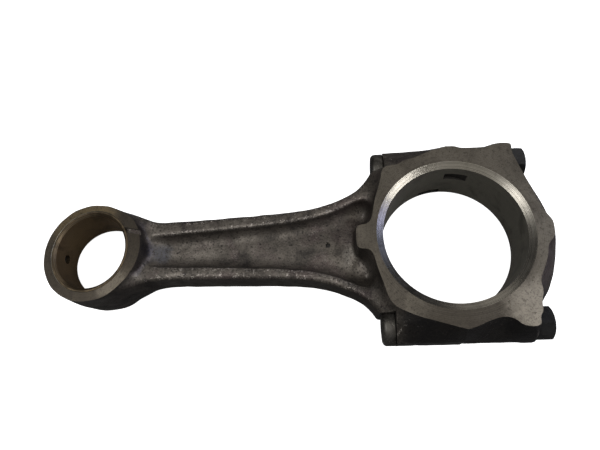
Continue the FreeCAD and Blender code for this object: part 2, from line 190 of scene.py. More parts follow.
# ------------------------------------------------------------------ outlines
@dataclass
class Outline:
    """Closed outline in plan, with its corners eased, as a distance field."""

    points: Sequence[tuple[float, float]]
    easing: int = 3
    step: float = 0.5
    margin: float = 12.0
    grid: np.ndarray = field(init=False)

    def __post_init__(self) -> None:
        """Ease the corners and measure the field once."""
        corners = np.array(self.points, dtype=float)
        for _ in range(self.easing):
            after = np.roll(corners, -1, axis=0)
            corners = np.stack((0.75 * corners + 0.25 * after, 0.25 * corners + 0.75 * after), axis=1)
            corners = corners.reshape(-1, 2)
        self.low = corners.min(axis=0) - self.margin
        count = np.ceil((corners.max(axis=0) + self.margin - self.low) / self.step).astype(int) + 2
        xs = self.low[0] + self.step * np.arange(count[0])
        ys = self.low[1] + self.step * np.arange(count[1])
        self.grid = self.measure(corners, *np.meshgrid(xs, ys, indexing="ij"))

    @staticmethod
    def measure(corners: np.ndarray, x: np.ndarray, y: np.ndarray) -> np.ndarray:
        """Signed distance to the outline, negative inside.

        Args:
            corners: The eased outline's corners.
            x: Grid of X values.
            y: Grid of Y values.

        Returns:
            Distances on the grid.
        """
        nearest = np.full(x.shape, np.inf)
        inside = np.zeros(x.shape, dtype=bool)
        for (ax, ay), (bx, by) in zip(corners, np.roll(corners, -1, axis=0)):
            dx, dy = bx - ax, by - ay
            share = np.clip(((x - ax) * dx + (y - ay) * dy) / (dx * dx + dy * dy), 0.0, 1.0)
            nearest = np.minimum(nearest, (x - ax - share * dx) ** 2 + (y - ay - share * dy) ** 2)
            if ay != by:
                crossing = ax + (y - ay) * dx / dy
                inside ^= ((ay > y) != (by > y)) & (x < crossing)
        distance = np.sqrt(nearest)
        return np.where(inside, -distance, distance)

    def __call__(self, x: np.ndarray, y: np.ndarray) -> np.ndarray:
        """Read the distance at any point.

        Args:
            x: X values.
            y: Y values.

        Returns:
            Distances, which go on growing outside the measured area.
        """
        limit = np.array(self.grid.shape) - 1.001
        u = (x - self.low[0]) / self.step
        v = (y - self.low[1]) / self.step
        cu, cv = np.clip(u, 0, limit[0]), np.clip(v, 0, limit[1])
        iu, iv = cu.astype(int), cv.astype(int)
        fu, fv = cu - iu, cv - iv
        near = self.grid[iu, iv] * (1 - fv) + self.grid[iu, iv + 1] * fv
        far = self.grid[iu + 1, iv] * (1 - fv) + self.grid[iu + 1, iv + 1] * fv
        return near * (1 - fu) + far * fu + self.step * np.hypot(u - cu, v - cv)


def mirrored(points: Iterable[tuple[float, float]]) -> list[tuple[float, float]]:
    """Close an outline whose upper half is given, by its mirror image.

    Args:
        points: Upper half, from one end to the other.

    Returns:
        The whole outline.
    """
    upper = list(points)
    return upper + [(x, -y) for x, y in reversed(upper) if y > 1e-6]


# ------------------------------------------------------------------ skinning
Field = Callable[[np.ndarray, np.ndarray, np.ndarray], np.ndarray]


def gradient(solid: Field, points: np.ndarray, reach: float = 0.15) -> np.ndarray:
    """Direction in which a field grows at each point.

    Args:
        solid: The field.
        points: Rows of X, Y and Z.
        reach: How far each side of the point it is read.

    Returns:
        One vector for each point.
    """
    rows = []
    for axis in range(3):
        shift = np.zeros(3)
        shift[axis] = reach
        rows.append(solid(*(points + shift).T) - solid(*(points - shift).T))
    return np.stack(rows, axis=1) / (2.0 * reach)


def skin(solid: Field, low: Sequence[float], high: Sequence[float],
         step: float) -> tuple[np.ndarray, np.ndarray]:
    """Cover a field's zero surface with a net of even quads.

    Args:
        solid: Signed field, negative inside.
        low: Lowest corner of the space to cover.
        high: Highest corner.
        step: Size of a quad.

    Returns:
        The vertices in millimetres and the quads' corner numbers.
    """
    axes = [np.arange(a, b + step, step) for a, b in zip(low, high)]
    values = solid(*np.meshgrid(*axes, indexing="ij"))
    cells = tuple(n - 1 for n in values.shape)
    total = np.zeros(cells + (3,))
    count = np.zeros(cells)
    place = np.indices(values.shape).astype(float)
    crossings = []
    for axis in range(3):
        first = [slice(None)] * 3
        second = [slice(None)] * 3
        first[axis], second[axis] = slice(0, -1), slice(1, None)
        a, b = values[tuple(first)], values[tuple(second)]
        cross = (a < 0) != (b < 0)
        share = np.where(cross, a / np.where(cross, a - b, 1.0), 0.0)
        crossings.append((cross, a < 0))
        others = [o for o in range(3) if o != axis]
        for d0 in (0, 1):
            for d1 in (0, 1):
                part = [slice(None)] * 3
                part[others[0]] = slice(d0, d0 + cells[others[0]])
                part[others[1]] = slice(d1, d1 + cells[others[1]])
                part = tuple(part)
                hit = cross[part]
                count += hit
                for k in range(3):
                    where = place[k][tuple(first)][part]
                    total[..., k] += hit * (where + (share[part] if k == axis else 0.0))
    used = count > 0
    number = np.full(cells, -1)
    number[used] = np.arange(used.sum())
    vertices = np.array(low) + step * total[used] / count[used][:, None]
    quads = []
    for axis, (cross, low_inside) in enumerate(crossings):
        o0, o1 = (axis + 1) % 3, (axis + 2) % 3
        where = np.argwhere(cross)
        keep = (where[:, o0] > 0) & (where[:, o1] > 0)
        keep &= (where[:, o0] < cells[o0]) & (where[:, o1] < cells[o1])
        where = where[keep]
        corners = []
        for s0, s1 in ((-1, -1), (0, -1), (0, 0), (-1, 0)):
            at = where.copy()
            at[:, o0] += s0
            at[:, o1] += s1
            corners.append(number[tuple(at.T)])
        quad = np.stack(corners, axis=1)
        flip = ~low_inside[tuple(where.T)]
        quad[flip] = quad[flip][:, ::-1]
        quads.append(quad)
    for _ in range(3):
        slope = gradient(solid, vertices)
        length = np.maximum((slope ** 2).sum(axis=1), 0.05)
        move = -(solid(*vertices.T) / length)[:, None] * slope
        size = np.linalg.norm(move, axis=1, keepdims=True)
        vertices += move * np.minimum(1.0, 0.5 * step / np.maximum(size, 1e-9))
    return vertices, np.concatenate(quads)


# ------------------------------------------------------------------ mesh tools
def new_object(name: str, vertices: np.ndarray, faces: Sequence[Sequence[int]]) -> bpy.types.Object:
    """Make an object from millimetre vertices.

    Args:
        name: The object's name.
        vertices: Rows of X, Y and Z in millimetres.
        faces: Corner numbers of each face.

    Returns:
        The linked object.
    """
    mesh = bpy.data.meshes.new(name)
    mesh.from_pydata((np.asarray(vertices) * MM).tolist(), [], [list(map(int, f)) for f in faces])
    mesh.validate()
    obj = bpy.data.objects.new(name, mesh)
    bpy.context.scene.collection.objects.link(obj)
    return obj


def placed(shape: Shape, place: Matrix) -> Shape:
    """Move a shape.

    Args:
        shape: Vertices and faces.
        place: The move, in millimetres.

    Returns:
        The moved shape.
    """
    vertices, faces = shape
    return np.array([tuple(place @ Vector(v)) for v in vertices]), faces


def turned_over(shape: Shape) -> Shape:
    """Mirror a shape in the rod's mid plane.

    Args:
        shape: Vertices and faces.

    Returns:
        The mirrored shape, with its faces still looking outwards.
    """
    vertices, faces = shape
    return vertices * np.array((1.0, 1.0, -1.0)), [tuple(reversed(f)) for f in faces]


def lying(x: float, y: float) -> Matrix:
    """Lay local Z along the rod, starting from a point of the mid plane.

    Args:
        x: X of the start.
        y: Y of the axis.

    Returns:
        The placement, in millimetres.
    """
    return Matrix.Translation((x, y, 0.0)) @ Matrix.Rotation(math.pi / 2.0, 4, "Y")


def ring_faces(rows: int, segments: int) -> list:
    """Faces of stacked rings that close in a point at each end.

    Args:
        rows: How many rings there are.
        segments: Vertices in a ring; the two end points come after all rings.

    Returns:
        Corner numbers of each face.
    """
    faces = []
    for a in range(0, (rows - 1) * segments, segments):
        for i in range(segments):
            j = (i + 1) % segments
            faces.append((a + i, a + j, a + segments + j, a + segments + i))
    first, top = rows * segments, (rows - 1) * segments
    for i in range(segments):
        j = (i + 1) % segments
        faces += [(first, j, i), (first + 1, top + i, top + j)]
    return faces


def lathe(profile: Sequence[tuple[float, float]], segments: int, place: Matrix) -> Shape:
    """Turn a profile into a closed solid of revolution.

    Args:
        profile: (radius, height) points; it starts and ends on the axis.
        segments: Steps round the axis.
        place: Where the solid goes, in millimetres, its axis along local Z.

    Returns:
        Vertices and faces.
    """
    rings = profile[1:-1]
    vertices = []
    for radius, height in rings:
        for i in range(segments):
            angle = 2.0 * math.pi * i / segments
            vertices.append((radius * math.cos(angle), radius * math.sin(angle), height))
    vertices += [(0.0, 0.0, profile[0][1]), (0.0, 0.0, profile[-1][1])]
    return placed((vertices, ring_faces(len(rings), segments)), place)


def slab(low: Sequence[float], high: Sequence[float]) -> Shape:
    """Rectangular cutter between two corners.

    Args:
        low: Lowest corner.
        high: Highest corner.

    Returns:
        Vertices and faces.
    """
    vertices = list(itertools.product(*zip(low, high)))
    faces = [(0, 1, 3, 2), (4, 6, 7, 5), (0, 4, 5, 1), (2, 3, 7, 6), (0, 2, 6, 4), (1, 5, 7, 3)]
    return np.array(vertices), faces


def along_x(radius: float, x_low: float, x_high: float, y: float, segments: int = 64) -> Shape:
    """Round cutter along X.

    Args:
        radius: The cutter's radius.
        x_low: Where it starts.
        x_high: Where it ends.
        y: Its axis.
        segments: Steps round it.

    Returns:
        Vertices and faces.
    """
    length = x_high - x_low
    return lathe([(0, 0), (radius, 0), (radius, length), (0, length)], segments, lying(x_low, y))


def apply_modifiers(obj: bpy.types.Object) -> None:
    """Bake an object's modifiers into its mesh.

    Args:
        obj: The object.
    """
    graph = bpy.context.evaluated_depsgraph_get()
    mesh = bpy.data.meshes.new_from_object(obj.evaluated_get(graph))
    old = obj.data
    obj.modifiers.clear()
    mesh.materials.clear()
    obj.data = mesh
    bpy.data.meshes.remove(old)


def machine(obj: bpy.types.Object, cutters: Sequence[Shape]) -> None:
    """Cut a blank with closed tools, one after another.

    Args:
        obj: The blank.
        cutters: Each tool's vertices and faces.
    """
    tools = []
    for vertices, faces in cutters:
        tool = new_object("cutter", vertices, faces)
        modifier = obj.modifiers.new("cut", "BOOLEAN")
        modifier.operation = "DIFFERENCE"
        modifier.solver = "MANIFOLD"
        modifier.object = tool
        tools.append(tool)
    bpy.context.view_layer.update()
    apply_modifiers(obj)
    for tool in tools:
        mesh = tool.data
        bpy.data.objects.remove(tool)
        bpy.data.meshes.remove(mesh)


def finish_mesh(obj: bpy.types.Object, sharp: float = 28.0) -> None:
    """Weld slivers, then shade smooth with crisp machined edges.

    Args:
        obj: The object.
        sharp: Edges turning by more degrees than this stay crisp.
    """
    work = bmesh.new()
    work.from_mesh(obj.data)
    bmesh.ops.remove_doubles(work, verts=work.verts, dist=0.01 * MM)
    bmesh.ops.dissolve_degenerate(work, edges=work.edges, dist=0.005 * MM)
    work.to_mesh(obj.data)
    work.free()
    obj.data.shade_smooth()
    obj.data.set_sharp_from_angle(angle=math.radians(sharp))


def polygon_arrays(mesh: bpy.types.Mesh) -> tuple[np.ndarray, np.ndarray]:
    """Centres, in millimetres, and normals of a mesh's faces.

    Args:
        mesh: The mesh.

    Returns:
        Two arrays with one row for each face.
    """
    centres = np.empty(len(mesh.polygons) * 3)
    normals = np.empty(len(mesh.polygons) * 3)
    mesh.polygons.foreach_get("center", centres)
    mesh.polygons.foreach_get("normal", normals)
    return centres.reshape(-1, 3) / MM, normals.reshape(-1, 3)


def vertex_array(mesh: bpy.types.Mesh) -> np.ndarray:
    """Vertices of a mesh in millimetres.

    Args:
        mesh: The mesh.

    Returns:
        One row for each vertex.
    """
    flat = np.empty(len(mesh.vertices) * 3)
    mesh.vertices.foreach_get("co", flat)
    return flat.reshape(-1, 3) / MM


# ------------------------------------------------------------------ cutters
def facing_cutters() -> list:
    """Two slabs that plane the thrust faces.

    Returns:
        The upper and the lower cutter.
    """
    reach, behind, thick = 70.0, -230.0, 40.0
    upper = slab((behind, -reach, HALF_WIDTH), (reach, reach, thick))
    lower = slab((behind, -reach, -thick), (reach, reach, -HALF_WIDTH))
    return [upper, lower]


def eye_plane() -> Matrix:
    """Place local XY on the small end's upper leaning face, at the bush's axis."""
    return Matrix.Translation((-CENTRES, 0.0, EYE_HALF)) @ Matrix.Rotation(-EYE_TAPER, 4, "Y")


def wedge_cutters() -> list:
    """Two slabs that plane the small end's leaning faces.

    Returns:
        The upper and the lower cutter.
    """
    upper = placed(slab((-60.0, -40.0, 0.0), (50.0, 40.0, 30.0)), eye_plane())
    return [upper, turned_over(upper)]


def bore_cutter() -> Shape:
    """Big-end bore with a chamfer at each mouth.

    Returns:
        Vertices and faces of the cutter.
    """
    end = HALF_WIDTH + 4.0
    straight = HALF_WIDTH - CHAMFER_DEPTH
    mouth = BIG_BORE + (end - straight) * CHAMFER_RADIAL / CHAMFER_DEPTH
    upper = [(BIG_BORE, straight), (mouth, end), (0, end)]
    lower = [(radius, -height) for radius, height in reversed(upper)]
    return lathe(lower + upper, 192, Matrix.Identity(4))


def eye_mouths(radius: float, chamfer: float) -> list:
    """Chamfer cutters square to the two leaning faces of the small end.

    Args:
        radius: The hole's radius.
        chamfer: Size of the chamfer.

    Returns:
        The upper and the lower cutter.
    """
    low = chamfer * 2.0
    foot = -chamfer - low
    profile = [(0, foot), (radius - low, foot), (radius + 2 * chamfer, chamfer), (0, chamfer)]
    upper = lathe(profile, 128, eye_plane())
    return [upper, turned_over(upper)]


def upright(radius: float, low: float, high: float, x: float, y: float,
            segments: int = 128) -> Shape:
    """Round cutter along Z.

    Args:
        radius: The cutter's radius.
        low: Its lower end.
        high: Its upper end.
        x: X of its axis.
        y: Y of its axis.
        segments: Steps round it.

    Returns:
        Vertices and faces.
    """
    profile = [(0, low), (radius, low), (radius, high), (0, high)]
    return lathe(profile, segments, Matrix.Translation((x, y, 0.0)))


def tang_cutter(z_low: float, z_high: float) -> Shape:
    """Disc cutter for one bearing tang notch.

    Args:
        z_low: Lower side of the notch.
        z_high: Upper side.

    Returns:
        Vertices and faces of the cutter.
    """
    depth, radius = 1.4, 20.0
    return upright(radius, z_low, z_high, 0.0, BIG_BORE + depth - radius)


def oil_hole_cutter() -> Shape:
    """Drill that opens the far wall of the small end and its bush."""
    return along_x(OIL_HOLE, -220.0, -190.0, 0.0)


def groove_cutter() -> Shape:
    """Cutter for the oil groove across the small end's upper face.

    Returns:
        Vertices and faces of the cutter.
    """
    width, depth = 2.4, 1.6
    start, end = Vector((-161.5, 9.6, 0.0)), Vector((-150.0, 6.9, 0.0))
    run = end - start
    cutter = slab((0.0, -width / 2, 0.0), (run.length, width / 2, 12.0))
    height = EYE_HALF - depth + math.tan(EYE_TAPER) * (start.x + CENTRES)
    turn = Matrix.Rotation(math.atan2(run.y, run.x), 4, "Z")
    place = Matrix.Translation((start.x, start.y, height)) @ turn @ Matrix.Rotation(-EYE_TAPER, 4, "Y")
    return placed(cutter, place)


# ------------------------------------------------------------------ forging blanks
class Surface(Enum):
    """What a face of a forging is left as; the value is its material slot."""

    FORGED = 0
    FACE = 1
    CHAMFER = 2
    BORE = 3
    JOINT = 4
    EYE_FACE = 5
    # Near-black painted shade for the tang notches and the hardness dimple.
    NOTCH = 6


@dataclass
class BigEndShape:
    """Drafted wall of a big-end half, from its plan at the face and at mid thickness."""

    face_plan: Outline
    middle_plan: Outline
    flat: float = 5.0
    low: float = 0.35

    def __call__(self, x: np.ndarray, y: np.ndarray, z: np.ndarray) -> np.ndarray:
        """Distance field of the half.

        Args:
            x: Along the rod.
            y: Across the rod.
            z: Along the bore.

        Returns:
            Distances, negative inside.
        """
        height = np.abs(z)
        share = np.clip((height - self.flat) / (HALF_WIDTH - self.flat), 0.0, 1.15) ** 1.25
        wall = self.middle_plan(x, y + self.low) * (1.0 - share) + self.face_plan(x, y) * share
        return smooth_max(wall * 0.93, height - HALF_WIDTH - 1.3, 1.2)


@dataclass
class Forging:
    """A forged and machined piece with its blank, its cutters and its finishes."""

    name: str
    node: str
    body: str
    quad: float = 0.95

    def blank(self, x: np.ndarray, y: np.ndarray, z: np.ndarray) -> np.ndarray:
        """Distance field of the rough forging.

        Args:
            x: Along the rod.
            y: Across the rod.
            z: Along the bores.

        Returns:
            Distances, negative inside.
        """
        raise NotImplementedError

    def space(self) -> tuple[Sequence[float], Sequence[float]]:
        """Lowest and highest corner of the space the blank is in."""
        raise NotImplementedError

    def cutters(self) -> list:
        """Machining tools, in the order they are used."""
        raise NotImplementedError

    def surfaces(self, centre: np.ndarray, normal: np.ndarray) -> np.ndarray:
        """Which surface each face of the big end belongs to.

        Args:
            centre: Face centres in millimetres.
            normal: Face normals.

        Returns:
            A material slot number for each face.
        """
        slots = np.zeros(len(centre))
        for side in (1.0, -1.0):
            slots[on_plane(centre, normal, (0, 0, side), HALF_WIDTH)] = Surface.FACE.value
        bore = in_bore(centre, normal, 0.0, BIG_BORE + CHAMFER_RADIAL + 0.1) & (centre[:, 0] > -40.0)
        slots[bore] = Surface.BORE.value
        slots[bore & (np.abs(normal[:, 2]) > 0.3)] = Surface.CHAMFER.value
        slots[in_notch(centre)] = Surface.NOTCH.value
        slots[on_plane(centre, normal, (1, 0, 0), 0.0)] = Surface.JOINT.value
        return slots

    def build(self, finishes: Sequence[bpy.types.Material]) -> bpy.types.Object:
        """Forge, machine and dress the piece.

        Args:
            finishes: One material for each Surface, in order.

        Returns:
            The finished object.
        """
        vertices, quads = skin(self.blank, *self.space(), self.quad)
        obj = new_object(self.name, vertices, quads)
        machine(obj, self.cutters())
        finish_mesh(obj)
        self.mark_ridges(obj.data)
        for material in finishes:
            obj.data.materials.append(material)
        slots = self.surfaces(*polygon_arrays(obj.data))
        obj.data.polygons.foreach_set("material_index", slots.astype(np.int32))
        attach(obj, self.body)
        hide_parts(self.node)
        LOG.info("%s: %d faces", self.name, len(obj.data.polygons))
        return obj

    def mark_ridges(self, mesh: bpy.types.Mesh) -> None:
        """Store how sharply the forging bends outwards, as the attribute ridge.

        Args:
            mesh: The machined mesh.
        """
        points = vertex_array(mesh)
        reach = 1.3
        total = -6.0 * self.blank(*points.T)
        for axis in range(3):
            shift = np.zeros(3)
            shift[axis] = reach
            total += self.blank(*(points + shift).T) + self.blank(*(points - shift).T)
        bend = np.clip(total / (reach * reach), -1.0, 1.0)
        attribute = mesh.attributes.new("ridge", "FLOAT", "POINT")
        attribute.data.foreach_set("value", bend.astype(np.float32))


def on_plane(centre: np.ndarray, normal: np.ndarray, direction: Sequence[float],
             offset: float) -> np.ndarray:
    """Pick the faces that lie on a plane.

    Args:
        centre: Face centres.
        normal: Face normals.
        direction: The plane's unit normal.
        offset: Its distance from the origin.

    Returns:
        True for each face on it.
    """
    direction = np.array(direction)
    near = np.abs(centre @ direction - offset) < 0.03
    return near & (np.abs(normal @ direction) > 0.995)


def in_bore(centre: np.ndarray, normal: np.ndarray, x: float, limit: float) -> np.ndarray:
    """Pick the faces that look towards an upright bore's axis.

    Args:
        centre: Face centres.
        normal: Face normals.
        x: X of the bore axis.
        limit: Largest radius of the bore or its chamfer.

    Returns:
        True for each such face.
    """
    radial = centre[:, :2] - np.array((x, 0.0))
    radius = np.linalg.norm(radial, axis=1)
    inward = -(radial * normal[:, :2]).sum(axis=1) / np.maximum(radius, 1e-6)
    return (radius < limit) & (inward > 0.3)


def in_notch(centre: np.ndarray) -> np.ndarray:
    """Pick the faces inside a bearing tang notch.

    Args:
        centre: Face centres.

    Returns:
        True for each such face.
    """
    radius = np.hypot(centre[:, 0], centre[:, 1])
    straight = np.abs(centre[:, 2]) < HALF_WIDTH - CHAMFER_DEPTH
    near = (np.abs(centre[:, 0]) > 0.05) & (np.abs(centre[:, 0]) < 14.0) & (centre[:, 1] > 0.0)
    return near & straight & (radius > BIG_BORE + 0.08) & (radius < BIG_BORE + 1.6)


@dataclass
class RodForging(Forging):
    """Eye, shank and upper big-end half."""

    flange: float = 10.0
    web: float = 3.6
    side_draft: float = 0.07
    pocket_draft: float = 0.36
    shank_low: float = 0.4
    pocket_low: float = 0.9
    eye_face_radius: float = 25.2
    eye_middle_radius: float = 25.9
    dimple: float = 1.15
    dimple_x: float = -60.0

    def __post_init__(self) -> None:
        """Lay out the plans of the forging."""
        column = COLUMN_SIDE
        self.big_end = BigEndShape(
            Outline((
                (4, 44.6), (0, 44.6), (-5, 43.6), (-10, 41.5), (-20, 38.2), (-24, 36.2), (-28.5, 35.8),
                (-31.5, 34.5), (-33, 27), (-36.4, 18), (-38, 9.5), (-40.0, 6.1), (-44.7, 5.7),
                (-46.2, 4.2), (-46.2, -4.4), (-44.7, -5.9), (-40.0, -6.4), (-38, -9.8), (-36.4, -18),
                (-33.6, -27), (-32, -31), (-29, -34.5), (-20, -38.5), (-8, -42.5), (0, -45), (4, -45),
            )),
            Outline(mirrored((
                (4, column), (3, column), (-32, column), (-33, column), (-34, 44), (-35, 36), (-37, 29),
                (-38.6, 20), (-40.2, 13), (-43.8, 7.6), (-46.6, 6.6), (-47.2, 3),
            ))),
        )
        self.shank = Outline(mirrored((
            (-178, 19.0), (-163, 18.6), (-155, 16.9), (-147, 15.6), (-138, 15.3), (-120, 15.8),
            (-100, 16.4), (-80, 17.3), (-70, 18.3), (-60, 20.4), (-50, 24.3), (-45, 27.2),
            (-40, 31.0), (-37, 34.2), (-34, 37.2), (-20, 38.5),
        )))
        self.pocket = Outline(mirrored((
            (-158.5, 3), (-158.0, 7.4), (-148, 8.6), (-120, 10.0), (-100, 11.0), (-85, 12.0), (-75, 13.0),
            (-65, 14.6), (-57, 17.1), (-50, 20.1), (-45, 22.4), (-40, 22.8), (-36.5, 20.0), (-34, 14),
        )))
        self.eye_face = Outline(self.eye_disc(self.eye_face_radius) + [
            (-158.2, -15.8), (-153.6, -9.5), (-151.6, 0), (-153.2, 8.8), (-157.6, 15.6)])
        self.eye_middle = Outline(self.eye_disc(self.eye_middle_radius) + [
            (-156, -17.5), (-150.9, -10), (-149.8, 0), (-150.9, 10), (-156, 17)])
        self.ripple = Ripple(seed=11, amplitude=0.09)

    @staticmethod
    def eye_disc(mean: float) -> list[tuple[float, float]]:
        """Round part of the eye's outline, which is forged a little low.

        Args:
            mean: Its mean radius.

        Returns:
            Points from the shank's upper side round to its lower side.
        """
        points = []
        for angle in (math.radians(a) for a in range(55, 306, 10)):
            radius = mean - 0.7 * math.sin(angle) * (1.0 + 0.35 * math.cos(angle))
            points.append((-CENTRES + radius * math.cos(angle), radius * math.sin(angle)))
        return points

    def space(self) -> tuple[Sequence[float], Sequence[float]]:
        """Lowest and highest corner of the space the blank is in."""
        return (-209.0, -53.0, -21.0), (7.0, 53.0, 21.0)

    def blank(self, x: np.ndarray, y: np.ndarray, z: np.ndarray) -> np.ndarray:
        """Distance field of the rough forging.

        Args:
            x: Along the rod.
            y: Across the rod.
            z: Along the bores.

        Returns:
            Distances, negative inside.
        """
        height = np.abs(z)
        side = self.shank(x, y + self.shank_low) + self.side_draft * height - 0.5
        bar = smooth_max(side, height - self.flange, 2.6)
        rim = self.pocket(x, y + self.pocket_low) + 2.6 - (height - self.web) * self.pocket_draft
        hollow = smooth_max(rim, self.floor(x, y) - height, 5.0)
        bar = smooth_max(bar, -hollow, 1.2)
        share = np.clip(height / EYE_HALF, 0.0, 1.25)
        wall = self.eye_middle(x, y) * (1.0 - share) + self.eye_face(x, y) * share
        eye = smooth_max(wall, height - 18.5, 1.5)
        body = smooth_min(bar, eye, 3.0 + 5.5 * smooth_step(np.abs(y), 9.0, 15.0))
        body = smooth_min(body, self.big_end(x, y, z), 3.4 + 5.0 * smooth_step(np.abs(y), 17.0, 26.0))
        return body + self.ripple(x, y, z)

    def floor(self, x: np.ndarray, y: np.ndarray) -> np.ndarray:
        """Height of the pocket's floor, crowned along its middle.

        It climbs to the eye at one end. At the other it swells before the
        big end and dips into a lobe on each side.

        Args:
            x: Along the rod.
            y: Across the rod.

        Returns:
            Heights above the mid plane.
        """
        crown = 0.5 * np.cos(np.clip(y / 12.0, -1.0, 1.0) * math.pi)
        ramp = np.maximum(-142.5 - x, 0.0) * 0.50
        swell = 1.3 * np.exp(-(((x + 49.0) / 3.2) ** 2)) * (1.0 - smooth_step(np.abs(y), 9.0, 15.0))
        across = (np.abs(y + self.pocket_low) - 15.5) / 4.2
        dip = 2.2 * np.exp(-(((x + 41.0) / 3.6) ** 2) - across ** 2)
        return self.web + crown * 0.6 + ramp + swell - dip

    def cutters(self) -> list:
        """Machining tools, in the order they are used."""
        reach = 80.0
        tools = facing_cutters() + wedge_cutters()
        tools.append(slab((0.0, -reach, -reach), (reach, reach, reach)))
        tools += [bore_cutter(), tang_cutter(*ROD_TANG)]
        for side in (1.0, -1.0):
            y_low, y_high = sorted((side * FLANK, side * reach))
            tools.append(slab((-60.0, y_low, -reach), (HEAD_SEAT, y_high, reach)))
            tools.append(along_x(HOLE_R, HEAD_SEAT - 0.5, 5.0, side * BOLT_OFFSET))
        tools.append(upright(BUSH_OUT, -reach, reach, -CENTRES, 0.0, BUSH_STEPS))
        tools += eye_mouths(BUSH_OUT, EYE_CHAMFER)
        tools += [oil_hole_cutter(), groove_cutter()]
        for side in (1.0, -1.0):
            low, high = sorted((side * 2.7, side * 9.0))
            tools.append(upright(self.dimple, low, high, self.dimple_x, 0.0, 24))
        return tools

    def surfaces(self, centre: np.ndarray, normal: np.ndarray) -> np.ndarray:
        """Which surface each face belongs to.

        Args:
            centre: Face centres in millimetres.
            normal: Face normals.

        Returns:
            A material slot number for each face.
        """
        slots = super().surfaces(centre, normal)
        lean = math.sin(EYE_TAPER), math.cos(EYE_TAPER)
        offset = EYE_HALF * lean[1] + CENTRES * lean[0]
        for side in (1.0, -1.0):
            slots[on_plane(centre, normal, (-lean[0], 0, side * lean[1]), offset)] = Surface.EYE_FACE.value
            flank = on_plane(centre, normal, (0, side, 0), FLANK) & (centre[:, 0] < HEAD_SEAT)
            slots[flank] = Surface.JOINT.value
        slots[in_bore(centre, normal, -CENTRES, BUSH_OUT + 2.2)] = Surface.BORE.value
        slots[on_plane(centre, normal, (1, 0, 0), HEAD_SEAT)] = Surface.JOINT.value
        # The dimple takes the notch's near-black painted shade.
        pressed = np.hypot(centre[:, 0] - self.dimple_x, centre[:, 1]) < self.dimple + 0.02
        slots[pressed] = Surface.NOTCH.value
        return slots


@dataclass
class CapForging(Forging):
    """Lower big-end half with its nut pads and crown."""

    pad: float = 49.4
    spot_face: float = 9.56

    def __post_init__(self) -> None:
        """Lay out the plans of the forging."""
        column, pad = COLUMN_SIDE, self.pad
        self.big_end = BigEndShape(
            Outline((
                (-4, 44.6), (0, 44.6), (4.5, 44.6), (7.5, 43.1), (17, 42.9), (20.5, 43.2), (23, 44.6),
                (31.2, 44.6), (31.6, 42.5), (31.3, 40), (32.4, 36), (34.6, 28.5), (38.3, 17.2), (41.3, 8),
                (43, 5.4), (44.2, 3.4), (44.2, 0), (43.9, -3.7), (42.6, -5.4), (40.2, -7.8), (39.6, -12),
                (37.2, -18), (33.8, -24.5), (34.8, -29), (33.3, -33), (32.9, -38.6), (31.3, -39.8),
                (31.4, -44.4), (24.5, -44.4), (20.5, -40.6), (17, -39.8), (12, -40.8), (4, -44), (0, -45),
                (-4, -45),
            ), easing=2),
            Outline(mirrored((
                (-4, column), (-3, column), (25, column), (27.5, pad), (35, pad), (35, 34.5),
                (38.5, 31.3), (43.6, 23.4), (47.4, 13.2), (48.9, 4),
            ))),
            flat=2.0,
        )
        self.ripple = Ripple(seed=23, amplitude=0.09)

    def space(self) -> tuple[Sequence[float], Sequence[float]]:
        """Lowest and highest corner of the space the blank is in."""
        return (-7.0, -53.0, -21.0), (53.0, 53.0, 21.0)

    def blank(self, x: np.ndarray, y: np.ndarray, z: np.ndarray) -> np.ndarray:
        """Distance field of the rough forging.

        Args:
            x: Along the rod.
            y: Across the rod.
            z: Along the bores.

        Returns:
            Distances, negative inside.
        """
        return self.big_end(x, y, z) + self.ripple(x, y, z)

    def cutters(self) -> list:
        """Machining tools, in the order they are used."""
        reach = 80.0
        tools = facing_cutters()
        tools.append(slab((-reach, -reach, -reach), (0.0, reach, reach)))
        tools += [bore_cutter(), tang_cutter(*CAP_TANG)]
        for side in (1.0, -1.0):
            y = side * BOLT_OFFSET
            y_low, y_high = sorted((y, side * reach))
            tools.append(along_x(HOLE_R, -5.0, NUT_SEAT + 0.5, y))
            tools.append(along_x(self.spot_face, NUT_SEAT, reach, y))
            tools.append(slab((NUT_SEAT, y_low, -reach), (reach, y_high, reach)))
        return tools

    def surfaces(self, centre: np.ndarray, normal: np.ndarray) -> np.ndarray:
        """Which surface each face belongs to.

        Args:
            centre: Face centres in millimetres.
            normal: Face normals.

        Returns:
            A material slot number for each face.
        """
        slots = super().surfaces(centre, normal)
        slots[on_plane(centre, normal, (1, 0, 0), NUT_SEAT)] = Surface.JOINT.value
        return slots


# ------------------------------------------------------------------ hardware
@dataclass
class Bush:
    """Pressed bronze bush, planed with the eye."""

    name: str = "bronze_bush"

    def build(self, finish: bpy.types.Material, rim: bpy.types.Material) -> bpy.types.Object:
        """Turn, plane and drill the bush.

        Args:
            finish: Material of its bore and its back.
            rim: Material of its ends and their chamfers.

        Returns:
            The finished object.
        """
        vertices, faces = upright(BUSH_OUT - 0.02, -22.0, 22.0, -CENTRES, 0.0, BUSH_STEPS)
        obj = new_object(self.name, vertices, faces)
        tools = wedge_cutters()
        tools.append(upright(BUSH_IN, -30.0, 30.0, -CENTRES, 0.0, BUSH_STEPS))
        tools += eye_mouths(BUSH_IN, BUSH_CHAMFER)
        tools.append(oil_hole_cutter())
        machine(obj, tools)
        finish_mesh(obj)
        for material in (finish, rim):
            obj.data.materials.append(material)
        normal = polygon_arrays(obj.data)[1]
        obj.data.polygons.foreach_set("material_index", (np.abs(normal[:, 2]) > 0.3).astype(np.int32))
        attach(obj, "rod")
        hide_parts("small_end_bush")
        LOG.info("%s: %d faces", self.name, len(obj.data.polygons))
        return obj


